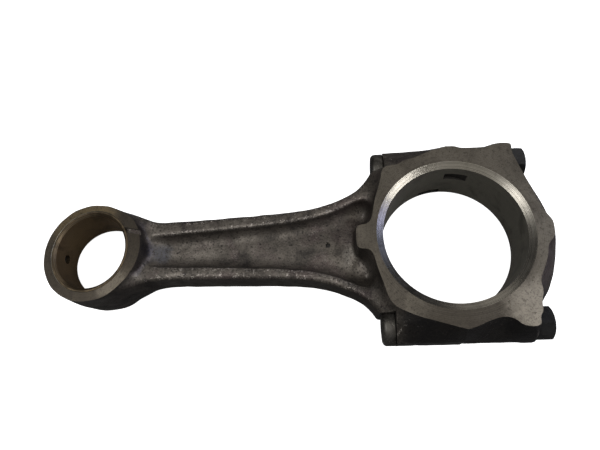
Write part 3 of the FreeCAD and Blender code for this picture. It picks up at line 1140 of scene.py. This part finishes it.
def thread_grid(major: float, pitch: float, start: float, end: float, taper: float) -> Shape:
    """Closed bar along local Z with a right-hand vee thread.

    Args:
        major: Crest radius.
        pitch: Rise of one turn.
        start: Where the thread begins.
        end: Where it ends, with a pointed lead.
        taper: Length of the lead at the end.

    Returns:
        Vertices and faces in the bar's own frame.
    """
    segments, per_turn = 40, 8
    rows = int((end - start) / pitch * per_turn) + 1
    heights = np.linspace(start, end, rows)
    angles = 2.0 * math.pi * np.arange(segments) / segments
    phase = (heights[:, None] / pitch - angles[None, :] / (2.0 * math.pi)) % 1.0
    depth = 0.55 * pitch * np.abs(2.0 * phase - 1.0)
    fade_in = np.clip((heights - start) / pitch, 0.0, 1.0)[:, None]
    lead = np.clip((heights - (end - taper)) / taper, 0.0, 1.0)[:, None] * 0.9
    radius = np.minimum(major - depth * fade_in, major - lead)
    x, y = radius * np.cos(angles), radius * np.sin(angles)
    z = np.repeat(heights[:, None], segments, axis=1)
    vertices = np.stack((x, y, z), axis=2).reshape(-1, 3)
    vertices = np.concatenate((vertices, [(0, 0, start), (0, 0, end)]))
    return vertices, ring_faces(rows, segments)


@dataclass
class CapBolt:
    """Forged-head cap bolt with fitted lands and a rolled thread."""

    side: float
    name: str
    node: str
    head_height: float = 6.5
    head_radius: float = 8.65
    flat: float = 5.3
    land: float = 5.5
    waist: float = 4.9
    crest: float = 5.45
    end: float = 40.6

    def build(self, finish: bpy.types.Material) -> bpy.types.Object:
        """Turn, thread and place the bolt.

        Args:
            finish: Its material.

        Returns:
            The finished object.
        """
        place = lying(0.0, self.side * BOLT_OFFSET)
        head = HEAD_SEAT - self.head_height
        profile = [(0, head), (4.2, head), (6.2, head + 0.15)]
        corner = 2.3
        for i in range(9):
            angle = math.radians(78 - 78 * i / 8)
            radius = self.head_radius - corner + corner * math.cos(angle)
            profile.append((radius, head + corner + 0.15 - corner * math.sin(angle)))
        profile += [
            (self.head_radius, HEAD_SEAT - 0.5), (self.head_radius - 0.5, HEAD_SEAT),
            (self.land, HEAD_SEAT), (self.land, -24.5), (self.waist, -23.5),
            (self.waist, -8.8), (self.land, -8.0), (self.land, 7.4),
            (self.waist - 0.3, 8.4), (self.waist - 0.3, 25.0), (0, 25.0),
        ]
        vertices, faces = lathe(profile, 96, place)
        obj = new_object(self.name, vertices, faces)
        y_near, y_far = sorted((0.0, self.side * (BOLT_OFFSET - self.flat)))
        machine(obj, [slab((head - 5.0, y_near, -20.0), (HEAD_SEAT + 0.01, y_far, 20.0))])
        thread = placed(thread_grid(self.crest, THREAD_PITCH, 24.9, self.end, 1.1), place)
        finish_mesh(obj, 35.0)
        join_shape(obj, thread)
        obj.data.materials.append(finish)
        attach(obj, "rod")
        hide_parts(self.node)
        LOG.info("%s: %d faces", self.name, len(obj.data.polygons))
        return obj


def join_shape(obj: bpy.types.Object, shape: Shape) -> None:
    """Add another closed shell to an object's mesh.

    Args:
        obj: The object.
        shape: Vertices in millimetres and faces.
    """
    extra = new_object("extra", *shape)
    extra.data.shade_smooth()
    extra.data.set_sharp_from_angle(angle=math.radians(40.0))
    modifier = obj.modifiers.new("join", "BOOLEAN")
    modifier.operation = "UNION"
    modifier.solver = "MANIFOLD"
    modifier.object = extra
    bpy.context.view_layer.update()
    apply_modifiers(obj)
    mesh = extra.data
    bpy.data.objects.remove(extra)
    bpy.data.meshes.remove(mesh)
    obj.data.shade_smooth()
    obj.data.set_sharp_from_angle(angle=math.radians(35.0))


@dataclass
class CapNut:
    """Hexagon nut with turned chamfers and a plain chamfered hole."""

    side: float
    name: str
    node: str
    body: str
    turn: float
    height: float = 9.0
    flats: float = 15.0

    def build(self, finish: bpy.types.Material) -> bpy.types.Object:
        """Mill, chamfer and place the nut.

        Args:
            finish: Its material.

        Returns:
            The finished object.
        """
        corner = self.flats / math.sqrt(3.0)
        top = self.height
        wall = corner + 0.05
        profile = [(0, 0), (corner - 1.0, 0), (corner - 0.5, 0.3), (wall, 0.7), (wall, top - 1.7)]
        profile += [(corner - 0.7, top - 0.85), (corner - 1.5, top - 0.25), (corner - 2.0, top), (0, top)]
        place = lying(NUT_SEAT, self.side * BOLT_OFFSET)
        obj = new_object(self.name, *lathe(profile, 96, place))
        tools = []
        for i in range(6):
            turn = Matrix.Rotation(math.radians(60.0 * i + self.turn), 4, "Z")
            flat = slab((-15.0, self.flats / 2.0, -2.0), (15.0, 15.0, 12.0))
            tools.append(placed(flat, place @ turn))
        bore = [(0, -1), (6.4, -1), (5.5, 0.7), (5.5, top - 0.7), (6.4, top + 1), (0, top + 1)]
        tools.append(lathe(bore, 64, place))
        machine(obj, tools)
        finish_mesh(obj, 24.0)
        obj.data.materials.append(finish)
        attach(obj, self.body)
        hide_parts(self.node)
        LOG.info("%s: %d faces", self.name, len(obj.data.polygons))
        return obj


# ------------------------------------------------------------------ node wiring
class Graph:
    """Short way of adding and wiring shader nodes."""

    def __init__(self, tree: bpy.types.NodeTree) -> None:
        """Work on one node tree."""
        self.tree = tree

    def add(self, kind: str, wires: dict | None = None, **settings: object) -> bpy.types.Node:
        """Add a node.

        Args:
            kind: Its type, without the ShaderNode prefix.
            wires: Values or output sockets for its inputs, by name or number.
            settings: Node properties.

        Returns:
            The new node.
        """
        node = self.tree.nodes.new("ShaderNode" + kind)
        for key, value in settings.items():
            setattr(node, key, value)
        for key, value in (wires or {}).items():
            socket = node.inputs[key]
            if isinstance(value, bpy.types.NodeSocket):
                self.tree.links.new(value, socket)
            else:
                socket.default_value = value
        return node

    def math(self, operation: str, a: object, b: object = 0.0, clamp: bool = False) -> bpy.types.NodeSocket:
        """Add a Math node.

        Args:
            operation: What it does.
            a: First value or socket.
            b: Second value or socket.
            clamp: Whether the result stays from 0 to 1.

        Returns:
            Its output.
        """
        return self.add("Math", {0: a, 1: b}, operation=operation, use_clamp=clamp).outputs[0]

    def span(self, value: object, low: float, high: float, to_low: float = 0.0,
             to_high: float = 1.0) -> bpy.types.NodeSocket:
        """Map a range softly onto another.

        Args:
            value: The socket to map.
            low: Start of the range.
            high: End of the range.
            to_low: What the start becomes.
            to_high: What the end becomes.

        Returns:
            The mapped value.
        """
        wires = {"Value": value, "From Min": low, "From Max": high, "To Min": to_low, "To Max": to_high}
        return self.add("MapRange", wires, interpolation_type="SMOOTHSTEP").outputs[0]

    def mix(self, share: object, a: object, b: object) -> bpy.types.NodeSocket:
        """Mix two colours, which are sockets 6 and 7 of a Mix node.

        Args:
            share: How much of the second, or a socket.
            a: First colour or socket.
            b: Second colour or socket.

        Returns:
            The mixed colour.
        """
        first, second = ((*c, 1.0) if isinstance(c, tuple) else c for c in (a, b))
        return self.add("Mix", {0: share, 6: first, 7: second}, data_type="RGBA").outputs[2]

    def noise(self, where: object, scale: float, detail: float = 4.0, rough: float = 0.55,
              warp: float = 0.0) -> bpy.types.NodeSocket:
        """Add a noise texture.

        Args:
            where: Coordinates.
            scale: Features per metre.
            detail: Octaves.
            rough: Weight of the fine octaves.
            warp: Distortion.

        Returns:
            Its grey value.
        """
        wires = {"Vector": where, "Scale": scale, "Detail": detail, "Roughness": rough, "Distortion": warp}
        return self.add("TexNoise", wires).outputs[0]

    def ramp(self, value: object, stops: Sequence[tuple[float, Sequence[float]]]) -> bpy.types.NodeSocket:
        """Add a colour ramp.

        Args:
            value: What drives it.
            stops: Positions and colours.

        Returns:
            Its colour.
        """
        node = self.add("ValToRGB", {0: value})
        bar = node.color_ramp.elements
        while len(bar) < len(stops):
            bar.new(0.5)
        for element, (position, colour) in zip(bar, stops):
            element.position = position
            element.color = (*colour, 1.0)
        return node.outputs[0]


def new_group(name: str, inputs: Sequence[tuple[str, str, object]],
              outputs: Sequence[tuple[str, str]]) -> tuple:
    """Start a shader node group.

    Args:
        name: Its name.
        inputs: Name, socket type and default of each input.
        outputs: Name and socket type of each output.

    Returns:
        The group, its graph, its input node and its output node.
    """
    tree = bpy.data.node_groups.new(name, "ShaderNodeTree")
    for title, kind, default in inputs:
        socket = tree.interface.new_socket(name=title, in_out="INPUT", socket_type=kind)
        if default is not None:
            socket.default_value = default
    for title, kind in outputs:
        tree.interface.new_socket(name=title, in_out="OUTPUT", socket_type=kind)
    return tree, Graph(tree), tree.nodes.new("NodeGroupInput"), tree.nodes.new("NodeGroupOutput")


# ------------------------------------------------------------------ shared effects
class Effects:
    """Shader node groups that several finishes share, each built once."""

    def __init__(self) -> None:
        """Build every group."""
        self.scale = self.forge_scale()
        self.turned = self.turning_marks()
        self.stains = self.oil_stains()
        self.wear = self.edge_wear()

    @staticmethod
    def forge_scale() -> bpy.types.NodeTree:
        """Mottled, pitted skin left by the forge, with a mask for painted glint specks.

        Returns:
            The group, with Mottle, Grain, Glint, Pits and Height.
        """
        names = ("Mottle", "Grain", "Glint", "Pits", "Height")
        outputs = [(name, "NodeSocketFloat") for name in names]
        tree, g, start, end = new_group("forge_scale", [("Vector", "NodeSocketVector", None)], outputs)
        where = start.outputs["Vector"]
        mottle = g.noise(where, 75.0, 5.0, 0.62, 0.6)
        grain = g.noise(where, 1050.0, 4.0, 0.7)
        cells = g.add("TexVoronoi", {"Vector": where, "Scale": 1500.0})
        sparse = g.noise(where, 420.0, 3.0, 0.6)
        flakes = g.span(cells.outputs["Distance"], 0.55, 0.20)
        glint = g.math("MULTIPLY", flakes, g.span(sparse, 0.50, 0.62))
        holes = g.add("TexVoronoi", {"Vector": where, "Scale": 520.0})
        rare = g.span(g.noise(where, 230.0, 2.0, 0.5), 0.50, 0.60)
        pits = g.math("MULTIPLY", g.span(holes.outputs["Distance"], 0.34, 0.18), rare)
        swell = g.math("MULTIPLY", g.noise(where, 190.0, 3.0, 0.5), 0.6)
        rise = g.math("ADD", swell, g.math("MULTIPLY", grain, 0.6))
        height = g.math("SUBTRACT", rise, g.math("MULTIPLY", pits, 0.5))
        for name, value in zip(names, (mottle, grain, glint, pits, height)):
            tree.links.new(value, end.inputs[name])
        return tree

    @staticmethod
    def turning_marks() -> bpy.types.NodeTree:
        """Fine rings left by a tool that turned about an upright axis.

        Returns:
            The group, with Rings.
        """
        inputs = [("Vector", "NodeSocketVector", None), ("Fineness", "NodeSocketFloat", 3000.0)]
        tree, g, start, end = new_group("turning_marks", inputs, [("Rings", "NodeSocketFloat")])
        flat = g.add("VectorMath", {0: start.outputs["Vector"], 1: (1.0, 1.0, 0.0)}, operation="MULTIPLY")
        radius = g.add("VectorMath", {0: flat.outputs[0]}, operation="LENGTH").outputs["Value"]
        wave = g.add("TexNoise", {"W": radius, "Scale": start.outputs["Fineness"], "Detail": 2.0},
                     noise_dimensions="1D")
        tree.links.new(wave.outputs[0], end.inputs["Rings"])
        return tree

    @staticmethod
    def oil_stains() -> bpy.types.NodeTree:
        """Soft-edged blotches of old oil.

        Returns:
            The group, with Mask.
        """
        inputs = [("Vector", "NodeSocketVector", None), ("Scale", "NodeSocketFloat", 60.0),
                  ("Spread", "NodeSocketFloat", 0.5)]
        tree, g, start, end = new_group("oil_stains", inputs, [("Mask", "NodeSocketFloat")])
        wires = {"Vector": start.outputs["Vector"], "Scale": start.outputs["Scale"],
                 "Detail": 5.0, "Roughness": 0.6, "Distortion": 0.8}
        cloud = g.add("TexNoise", wires).outputs[0]
        low = g.math("SUBTRACT", 0.92, start.outputs["Spread"])
        mask = g.math("MULTIPLY", g.math("SUBTRACT", cloud, low), 7.0, clamp=True)
        tree.links.new(mask, end.inputs["Mask"])
        return tree

    @staticmethod
    def edge_wear() -> bpy.types.NodeTree:
        """Masks of ridges, for wear and painted highlight, and of hollows, from the ridge attribute.

        Returns:
            The group, with Worn and Dirty.
        """
        inputs = [("Ridge", "NodeSocketFloat", 0.0), ("Breakup", "NodeSocketFloat", 0.5)]
        outputs = [("WearAndSheen", "NodeSocketFloat"), ("Concave", "NodeSocketFloat")]
        tree, g, start, end = new_group("edge_wear", inputs, outputs)
        ridge, breakup = start.outputs["Ridge"], start.outputs["Breakup"]
        worn = g.math("MULTIPLY", g.span(ridge, 0.22, 0.75), g.span(breakup, 0.42, 0.62))
        tree.links.new(worn, end.inputs["WearAndSheen"])
        tree.links.new(g.span(ridge, -0.1, -0.6), end.inputs["Concave"])
        return tree


def use_group(g: Graph, tree: bpy.types.NodeTree, wires: dict) -> bpy.types.Node:
    """Place a node group in a material.

    Args:
        g: The material's graph.
        tree: The group.
        wires: Its inputs.

    Returns:
        The group node.
    """
    return g.add("Group", wires, node_tree=tree)


def shader(name: str, **constants: float) -> tuple[bpy.types.Material, Graph, bpy.types.Node]:
    """Start a material.

    Args:
        name: Its name.
        constants: Plain values for the Principled BSDF, with spaces as underscores.

    Returns:
        The material, its graph and its Principled BSDF.
    """
    material = bpy.data.materials.new(name)
    material.use_nodes = True
    g = Graph(material.node_tree)
    surface = material.node_tree.nodes["Principled BSDF"]
    for key, value in constants.items():
        surface.inputs[key.replace("_", " ")].default_value = value
    return material, g, surface


def bump(g: Graph, surface: bpy.types.Node, height: bpy.types.NodeSocket,
         strength: float, depth: float) -> None:
    """Feed a height into a material's normal.

    Args:
        g: The material's graph.
        surface: Its Principled BSDF.
        height: Height from 0 to 1.
        strength: Share of the bump.
        depth: Height of 1, in metres.
    """
    node = g.add("Bump", {"Height": height, "Strength": strength, "Distance": depth})
    g.tree.links.new(node.outputs[0], surface.inputs["Normal"])


# ------------------------------------------------------------------ finishes
@dataclass(frozen=True)
class Blotch:
    """Soft spot of another tone, with a ragged edge."""

    spot: Triple
    size: float
    share: float
    colour: Colour

    def mask(self, g: Graph, where: object, edge: object) -> bpy.types.NodeSocket:
        """How much of the blotch is seen.

        Args:
            g: The material's graph.
            where: Coordinates.
            edge: Noise that makes the edge ragged.

        Returns:
            Its share, largest in its middle.
        """
        distance = g.add("VectorMath", {0: where, 1: self.spot}, operation="DISTANCE").outputs["Value"]
        ragged = g.math("ADD", distance, g.math("MULTIPLY", g.math("SUBTRACT", edge, 0.5), 1.2 * self.size))
        return g.span(ragged, self.size * 1.45, self.size * 0.60, 0.0, self.share)


@dataclass(frozen=True)
class ForgedFinish:
    """Dark oily forging scale, worn on its ridges, with painted glints, painted highlight and shade spots,
    and painted shade on steep sides.
    """

    name: str
    dark: Colour = (0.022, 0.019, 0.017)
    middle: Colour = (0.088, 0.077, 0.065)
    light: Colour = (0.142, 0.126, 0.108)
    purple: Colour = (0.070, 0.046, 0.048)
    glint: Colour = (0.62, 0.57, 0.52)
    # Near-black colour of the painted shade on the big end's lower column side.
    shade_black: Colour = (0.006, 0.0055, 0.006)
    blotches: tuple[Blotch, ...] = (
        # Painted highlights on the lobes and the swell before the big end, a painted bluish reflection on
        # the ramp by the eye, and a painted navy shadow at the eye step.
        Blotch((-0.0428, 0.0150, 0.0050), 0.0034, 0.70, (0.34, 0.31, 0.28)),
        Blotch((-0.0425, -0.0135, 0.0050), 0.0042, 0.70, (0.34, 0.31, 0.28)),
        Blotch((-0.0485, -0.0060, 0.0050), 0.0038, 0.50, (0.26, 0.24, 0.21)),
        Blotch((-0.1448, -0.0010, 0.0065), 0.0050, 0.60, (0.088, 0.093, 0.106)),
        Blotch((-0.1520, 0.0000, 0.0110), 0.0040, 0.90, (0.010, 0.011, 0.018)),
    )

    def build(self, effects: Effects) -> bpy.types.Material:
        """Make the material.

        Args:
            effects: Shared node groups.

        Returns:
            The material.
        """
        material, g, surface = shader(self.name, Metallic=0.60)
        where = g.add("TexCoord").outputs["Object"]
        scale = use_group(g, effects.scale, {"Vector": where}).outputs
        ridge = g.add("Attribute", attribute_name="ridge").outputs["Fac"]
        wear = use_group(g, effects.wear, {"Ridge": ridge, "Breakup": scale["Grain"]}).outputs
        stain = use_group(g, effects.stains, {"Vector": where, "Scale": 40.0, "Spread": 0.40}).outputs[0]
        base = g.ramp(scale["Mottle"], ((0.32, self.dark), (0.50, self.middle), (0.68, self.light)))
        base = g.mix(g.math("MULTIPLY", stain, 0.55), base, self.purple)
        base = g.mix(g.span(scale["Grain"], 0.50, 0.34, 0.0, 0.80), base, self.dark)
        base = g.mix(g.span(scale["Grain"], 0.52, 0.70, 0.0, 0.45), base, self.light)
        # Hollows are mixed darker.
        base = g.mix(g.math("MULTIPLY", wear["Concave"], 0.60), base, self.dark)
        # The blotches paint highlights, a reflection and a shadow into the colour.
        for blotch in self.blotches:
            mask = blotch.mask(g, where, scale["Mottle"])
            speckled = g.math("MULTIPLY", mask, g.span(scale["Grain"], 0.34, 0.54))
            base = g.mix(speckled, base, blotch.colour)
        # Steep faces are mixed towards dark: painted shade on the sides, as light comes from above.
        upright = g.add("SeparateXYZ", {0: g.add("TexCoord").outputs["Normal"]}).outputs["Z"]
        steep_shade = g.span(g.math("ABSOLUTE", upright), 0.62, 0.22)
        base = g.mix(g.math("MULTIPLY", steep_shade, 0.60), base, self.dark)
        # Painted shade: a box by the big end's lower column side is mixed to near black.
        spot = g.add("SeparateXYZ", {0: where}).outputs
        column_shade = g.math("MULTIPLY", g.span(spot["X"], -0.034, -0.024), g.span(spot["Y"], -0.022, -0.035))
        base = g.mix(g.math("MULTIPLY", column_shade, 0.86), base, self.shade_black)
        base = g.mix(g.math("MULTIPLY", scale["Pits"], 0.75), base, self.dark)
        # Ridges mix towards the glint colour: partly wear, partly painted highlight.
        base = g.mix(g.math("MULTIPLY", wear["WearAndSheen"], 0.30), base, self.glint)
        # Painted glints on ridges and stains, only on faces that look up.
        ridge_glint = g.span(ridge, 0.05, 0.40, 0.0, 0.75)
        painted_glints = g.math("ADD", ridge_glint, g.math("MULTIPLY", stain, 0.22), clamp=True)
        painted_glints = g.math("MULTIPLY", painted_glints, g.span(upright, 0.35, 0.75))
        base = g.mix(g.math("MULTIPLY", scale["Glint"], painted_glints), base, self.glint)
        g.tree.links.new(base, surface.inputs["Base Color"])
        g.tree.links.new(g.span(scale["Mottle"], 0.3, 0.7, 0.58, 0.38), surface.inputs["Roughness"])
        bump(g, surface, scale["Height"], 0.60, 0.0005)
        return material


@dataclass(frozen=True)
class MachinedFinish:
    """Planed thrust face, dulled by oil, with a dry bright patch."""

    name: str
    centre: Triple = (0.0, 0.0, 0.0)
    dull: Colour = (0.080, 0.071, 0.058)
    warm: Colour = (0.128, 0.114, 0.092)
    bright: Colour = (0.46, 0.42, 0.35)
    grime: Colour = (0.036, 0.030, 0.026)
    blotches: tuple[Blotch, ...] = ()

    def build(self, effects: Effects) -> bpy.types.Material:
        """Make the material.

        Args:
            effects: Shared node groups.

        Returns:
            The material.
        """
        material, g, surface = shader(self.name, Metallic=0.85)
        where = g.add("TexCoord").outputs["Object"]
        place = g.add("VectorMath", {0: where, 1: self.centre}, operation="SUBTRACT").outputs[0]
        rings = use_group(g, effects.turned, {"Vector": place, "Fineness": 5200.0}).outputs[0]
        stain = use_group(g, effects.stains, {"Vector": where, "Scale": 55.0, "Spread": 0.42}).outputs[0]
        fine = g.noise(where, 1300.0, 4.0, 0.7)
        cloud = g.noise(where, 42.0, 4.0, 0.55)
        edge = g.noise(where, 130.0, 4.0, 0.6)
        base = g.mix(g.span(cloud, 0.38, 0.64), self.dull, self.warm)
        for blotch in self.blotches:
            base = g.mix(blotch.mask(g, where, edge), base, blotch.colour)
        base = g.mix(g.math("MULTIPLY", stain, 0.40), base, self.grime)
        specks = g.span(g.noise(where, 560.0, 3.0, 0.7), 0.56, 0.66)
        base = g.mix(g.math("MULTIPLY", specks, 0.55), base, self.grime)
        base = g.mix(g.span(rings, 0.45, 0.78, 0.0, 0.16), base, self.bright)
        base = g.mix(g.span(fine, 0.52, 0.34, 0.0, 0.45), base, self.grime)
        g.tree.links.new(base, surface.inputs["Base Color"])
        g.tree.links.new(g.span(cloud, 0.3, 0.7, 0.36, 0.50), surface.inputs["Roughness"])
        height = g.math("ADD", g.math("MULTIPLY", rings, 0.5), g.math("MULTIPLY", fine, 0.5))
        bump(g, surface, height, 0.35, 0.00012)
        return material


@dataclass(frozen=True)
class BoredFinish:
    """Bored or honed metal with fine rings."""

    name: str
    base: Colour = (0.25, 0.24, 0.205)
    bright: Colour = (0.42, 0.40, 0.34)
    metallic: float = 0.9
    roughness: tuple[float, float] = (0.28, 0.42)
    fineness: float = 5000.0
    centre: Triple = (0.0, 0.0, 0.0)

    def build(self, effects: Effects) -> bpy.types.Material:
        """Make the material.

        Args:
            effects: Shared node groups.

        Returns:
            The material.
        """
        material, g, surface = shader(self.name, Metallic=self.metallic)
        where = g.add("TexCoord").outputs["Object"]
        place = g.add("VectorMath", {0: where, 1: self.centre}, operation="SUBTRACT").outputs[0]
        rings = use_group(g, effects.turned, {"Vector": place, "Fineness": self.fineness}).outputs[0]
        stain = use_group(g, effects.stains, {"Vector": where, "Scale": 70.0, "Spread": 0.40}).outputs[0]
        height = g.add("SeparateXYZ", {0: where}).outputs["Z"]
        wires = {"W": height, "Scale": 4200.0, "Detail": 2.0}
        bands = g.add("TexNoise", wires, noise_dimensions="1D").outputs[0]
        marks = g.math("ADD", g.math("MULTIPLY", rings, 0.6), g.math("MULTIPLY", bands, 0.4))
        base = g.mix(g.span(marks, 0.38, 0.66), self.base, self.bright)
        dark = tuple(0.45 * c for c in self.base)
        base = g.mix(g.math("MULTIPLY", stain, 0.55), base, dark)
        g.tree.links.new(base, surface.inputs["Base Color"])
        cloud = g.noise(where, 90.0, 3.0, 0.5)
        g.tree.links.new(g.span(cloud, 0.3, 0.7, *self.roughness), surface.inputs["Roughness"])
        bump(g, surface, marks, 0.30, 0.00010)
        return material


@dataclass(frozen=True)
class HardwareFinish:
    """Blackened bolt steel, worn by hands and oily, with painted glint specks."""

    name: str
    base: Colour = (0.040, 0.037, 0.033)
    light: Colour = (0.110, 0.104, 0.094)
    metallic: float = 0.7
    glint: float = 0.30

    def build(self, effects: Effects) -> bpy.types.Material:
        """Make the material.

        Args:
            effects: Shared node groups.

        Returns:
            The material.
        """
        material, g, surface = shader(self.name, Metallic=self.metallic)
        where = g.add("TexCoord").outputs["Object"]
        scale = use_group(g, effects.scale, {"Vector": where}).outputs
        base = g.mix(g.span(scale["Mottle"], 0.42, 0.66), self.base, self.light)
        # Painted glint specks in the base colour.
        base = g.mix(g.math("MULTIPLY", scale["Glint"], self.glint), base, (0.40, 0.38, 0.35))
        g.tree.links.new(base, surface.inputs["Base Color"])
        g.tree.links.new(g.span(scale["Grain"], 0.3, 0.7, 0.34, 0.52), surface.inputs["Roughness"])
        bump(g, surface, scale["Grain"], 0.40, 0.00015)
        return material


# ------------------------------------------------------------------ studio
@dataclass(frozen=True)
class Softbox:
    """One soft light, aimed at the rod from a direction."""

    name: str
    direction: Triple
    power: float
    size: float
    colour: Colour = (1.0, 1.0, 1.0)
    distance: float = 0.9

    def build(self, target: Vector) -> None:
        """Hang the light.

        Args:
            target: What it looks at.
        """
        lamp = bpy.data.lights.new(self.name, "AREA")
        lamp.energy, lamp.size, lamp.color = self.power, self.size, self.colour
        obj = bpy.data.objects.new(self.name, lamp)
        way = Vector(self.direction).normalized()
        obj.location = target + way * self.distance
        obj.rotation_euler = way.to_track_quat("Z", "Y").to_euler()
        bpy.context.scene.collection.objects.link(obj)


@dataclass(frozen=True)
class Studio:
    """Pale floor, soft lights and the camera."""

    eye: Triple = (-0.0509, -0.0735, 0.2433)
    tilt: float = 0.3542
    tilt_axis: Triple = (0.95616, 0.27696, -0.09495)
    focal: float = 30.0
    boxes: tuple[Softbox, ...] = (
        Softbox("box_right", (0.74, -0.24, 0.64), 2.4, 0.30),
        Softbox("box_left", (-0.55, -0.12, 0.83), 2.1, 0.32),
        Softbox("box_window", (0.88, 0.10, 0.45), 0.50, 0.17, (0.56, 0.60, 1.0)),
        Softbox("box_sky", (0.73, 0.32, 0.60), 0.55, 0.30, (0.50, 0.62, 1.0)),
        Softbox("box_far", (0.05, 0.90, 0.42), 0.55, 0.50, (1.0, 0.96, 0.90)),
        Softbox("box_side", (0.95, -0.05, 0.22), 0.60, 0.45, (0.62, 0.62, 1.0)),
    )

    def build(self, floor_z: float) -> None:
        """Set up the whole studio.

        Args:
            floor_z: Height of the floor.
        """
        self.camera()
        self.floor(floor_z)
        self.sky()
        for box in self.boxes:
            box.build(Vector((-0.03, 0.0, 0.0)))
        bpy.context.scene.view_settings.view_transform = "Standard"

    def camera(self) -> None:
        """Place the camera above the shank, looking down and a little forward."""
        data = bpy.data.cameras.new("camera")
        data.lens, data.sensor_width, data.clip_start = self.focal, 36.0, 0.01
        obj = bpy.data.objects.new("camera", data)
        place = Matrix.Translation(self.eye) @ Matrix.Rotation(self.tilt, 4, Vector(self.tilt_axis))
        obj.matrix_world = place
        bpy.context.scene.collection.objects.link(obj)
        bpy.context.scene.camera = obj

    def floor(self, floor_z: float) -> None:
        """Lay a pale floor that the rod rests on.

        Args:
            floor_z: Its height.
        """
        side, top, thickness = 4.0 / MM, floor_z / MM, 5.0
        obj = new_object("floor", *slab((-side, -side, top - thickness), (side, side, top)))
        material, g, surface = shader("pale_floor", Roughness=0.9, Emission_Strength=1.0)
        where = g.add("TexCoord").outputs["Object"]
        tone = g.mix(g.noise(where, 8.0, 2.0), (0.93, 0.93, 0.93), (0.95, 0.95, 0.95))
        g.tree.links.new(tone, surface.inputs["Base Color"])
        g.tree.links.new(tone, surface.inputs["Emission Color"])
        shade = g.add("BsdfDiffuse", {"Color": (0.13, 0.13, 0.13, 1.0)})
        seen = g.add("LightPath").outputs["Is Camera Ray"]
        both = g.add("MixShader", {0: seen, 1: shade.outputs[0], 2: surface.outputs[0]})
        g.tree.links.new(both.outputs[0], material.node_tree.nodes["Material Output"].inputs["Surface"])
        obj.data.materials.append(material)
        obj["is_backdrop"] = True

    @staticmethod
    def sky() -> None:
        """Light the scene with a warm glow from above that fades towards the sides."""
        world = bpy.data.worlds.new("studio")
        world.use_nodes = True
        bpy.context.scene.world = world
        g = Graph(world.node_tree)
        way = g.add("TexCoord").outputs["Generated"]
        above = (0.15, -0.08, 0.985)
        glow = g.add("VectorMath", {0: way, 1: above}, operation="DOT_PRODUCT").outputs["Value"]
        low, middle, high = (0.03, 0.03, 0.033), (0.085, 0.085, 0.088), (1.0, 0.965, 0.90)
        tone = g.ramp(glow, ((0.0, low), (0.64, middle), (0.97, high)))
        seen = g.add("LightPath").outputs["Is Camera Ray"]
        back = world.node_tree.nodes["Background"]
        g.tree.links.new(g.mix(seen, tone, (1.0, 1.0, 1.0)), back.inputs["Color"])
        back.inputs["Strength"].default_value = 1.0


def main() -> None:
    """Build every piece of the rod round its CAD frame."""
    logging.basicConfig(level=logging.INFO, format="%(name)s %(message)s")
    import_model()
    cad_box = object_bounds()
    Studio().build(cad_box[0][2])
    effects = Effects()
    eye = (-CENTRES * MM, 0.0, 0.0)
    forged = ForgedFinish("forged_scale").build(effects)
    face = MachinedFinish("thrust_face", blotches=(
        Blotch((0.045, 0.004, 0.0164), 0.022, 0.8, (0.150, 0.136, 0.112)),
        # Painted shade at the lower edge of the face.
        Blotch((0.002, -0.042, 0.0164), 0.020, 0.8, (0.050, 0.043, 0.035)),
        Blotch((0.032, -0.036, 0.0164), 0.012, 0.7, (0.34, 0.31, 0.26)),
    )).build(effects)
    chamfer = BoredFinish(
        "bore_chamfer", base=(0.10, 0.092, 0.078), bright=(0.34, 0.32, 0.28), metallic=0.95,
        roughness=(0.24, 0.32), fineness=9000.0)
    bore = BoredFinish("bored_wall")
    joint = BoredFinish(
        "joint_face", base=(0.06, 0.055, 0.05), bright=(0.15, 0.14, 0.13), roughness=(0.34, 0.46),
        fineness=2200.0)
    eye_face = MachinedFinish(
        "eye_face", eye, dull=(0.060, 0.050, 0.038), warm=(0.098, 0.082, 0.060),
        bright=(0.40, 0.36, 0.30),
        blotches=(
            Blotch((-0.186, 0.021, 0.013), 0.017, 0.85, (0.205, 0.155, 0.085)),
            Blotch((-0.165, -0.018, 0.015), 0.008, 0.55, (0.24, 0.21, 0.165)),
        ))
    # The notches and the dimple get a near-black finish: painted shade in these recesses.
    notch = BoredFinish(
        "notch_shade", base=(0.010, 0.009, 0.008), bright=(0.024, 0.021, 0.018), metallic=0.2,
        roughness=(0.55, 0.7))
    machined = (chamfer, bore, joint, eye_face, notch)
    finishes = [forged, face] + [finish.build(effects) for finish in machined]
    RodForging("forged_rod", "rod_body", "rod").build(finishes)
    CapForging("forged_cap", "cap", "cap").build(finishes)
    bronze = BoredFinish(
        "bush_bronze", base=(0.22, 0.155, 0.090), bright=(0.42, 0.30, 0.17), metallic=0.85,
        roughness=(0.30, 0.45), centre=eye)
    rim = BoredFinish(
        "bush_rim", base=(0.075, 0.058, 0.038), bright=(0.20, 0.150, 0.092), metallic=0.85,
        roughness=(0.34, 0.50), centre=eye)
    Bush().build(bronze.build(effects), rim.build(effects))
    bolt_finish = HardwareFinish("bolt_steel").build(effects)
    nut_finish = HardwareFinish(
        "nut_black", base=(0.012, 0.012, 0.012), light=(0.026, 0.026, 0.026), metallic=0.5,
        glint=0.05).build(effects)
    for side, where, turn in ((1.0, "upper", 30.0), (-1.0, "lower", 7.0)):
        bolt = CapBolt(side, f"cap_bolt_{where}", f"bolt_{where}").build(bolt_finish)
        nut = CapNut(side, f"cap_nut_{where}", f"nut_{where}", f"nut_{where}", turn).build(nut_finish)


if __name__ == "__main__":
    main()
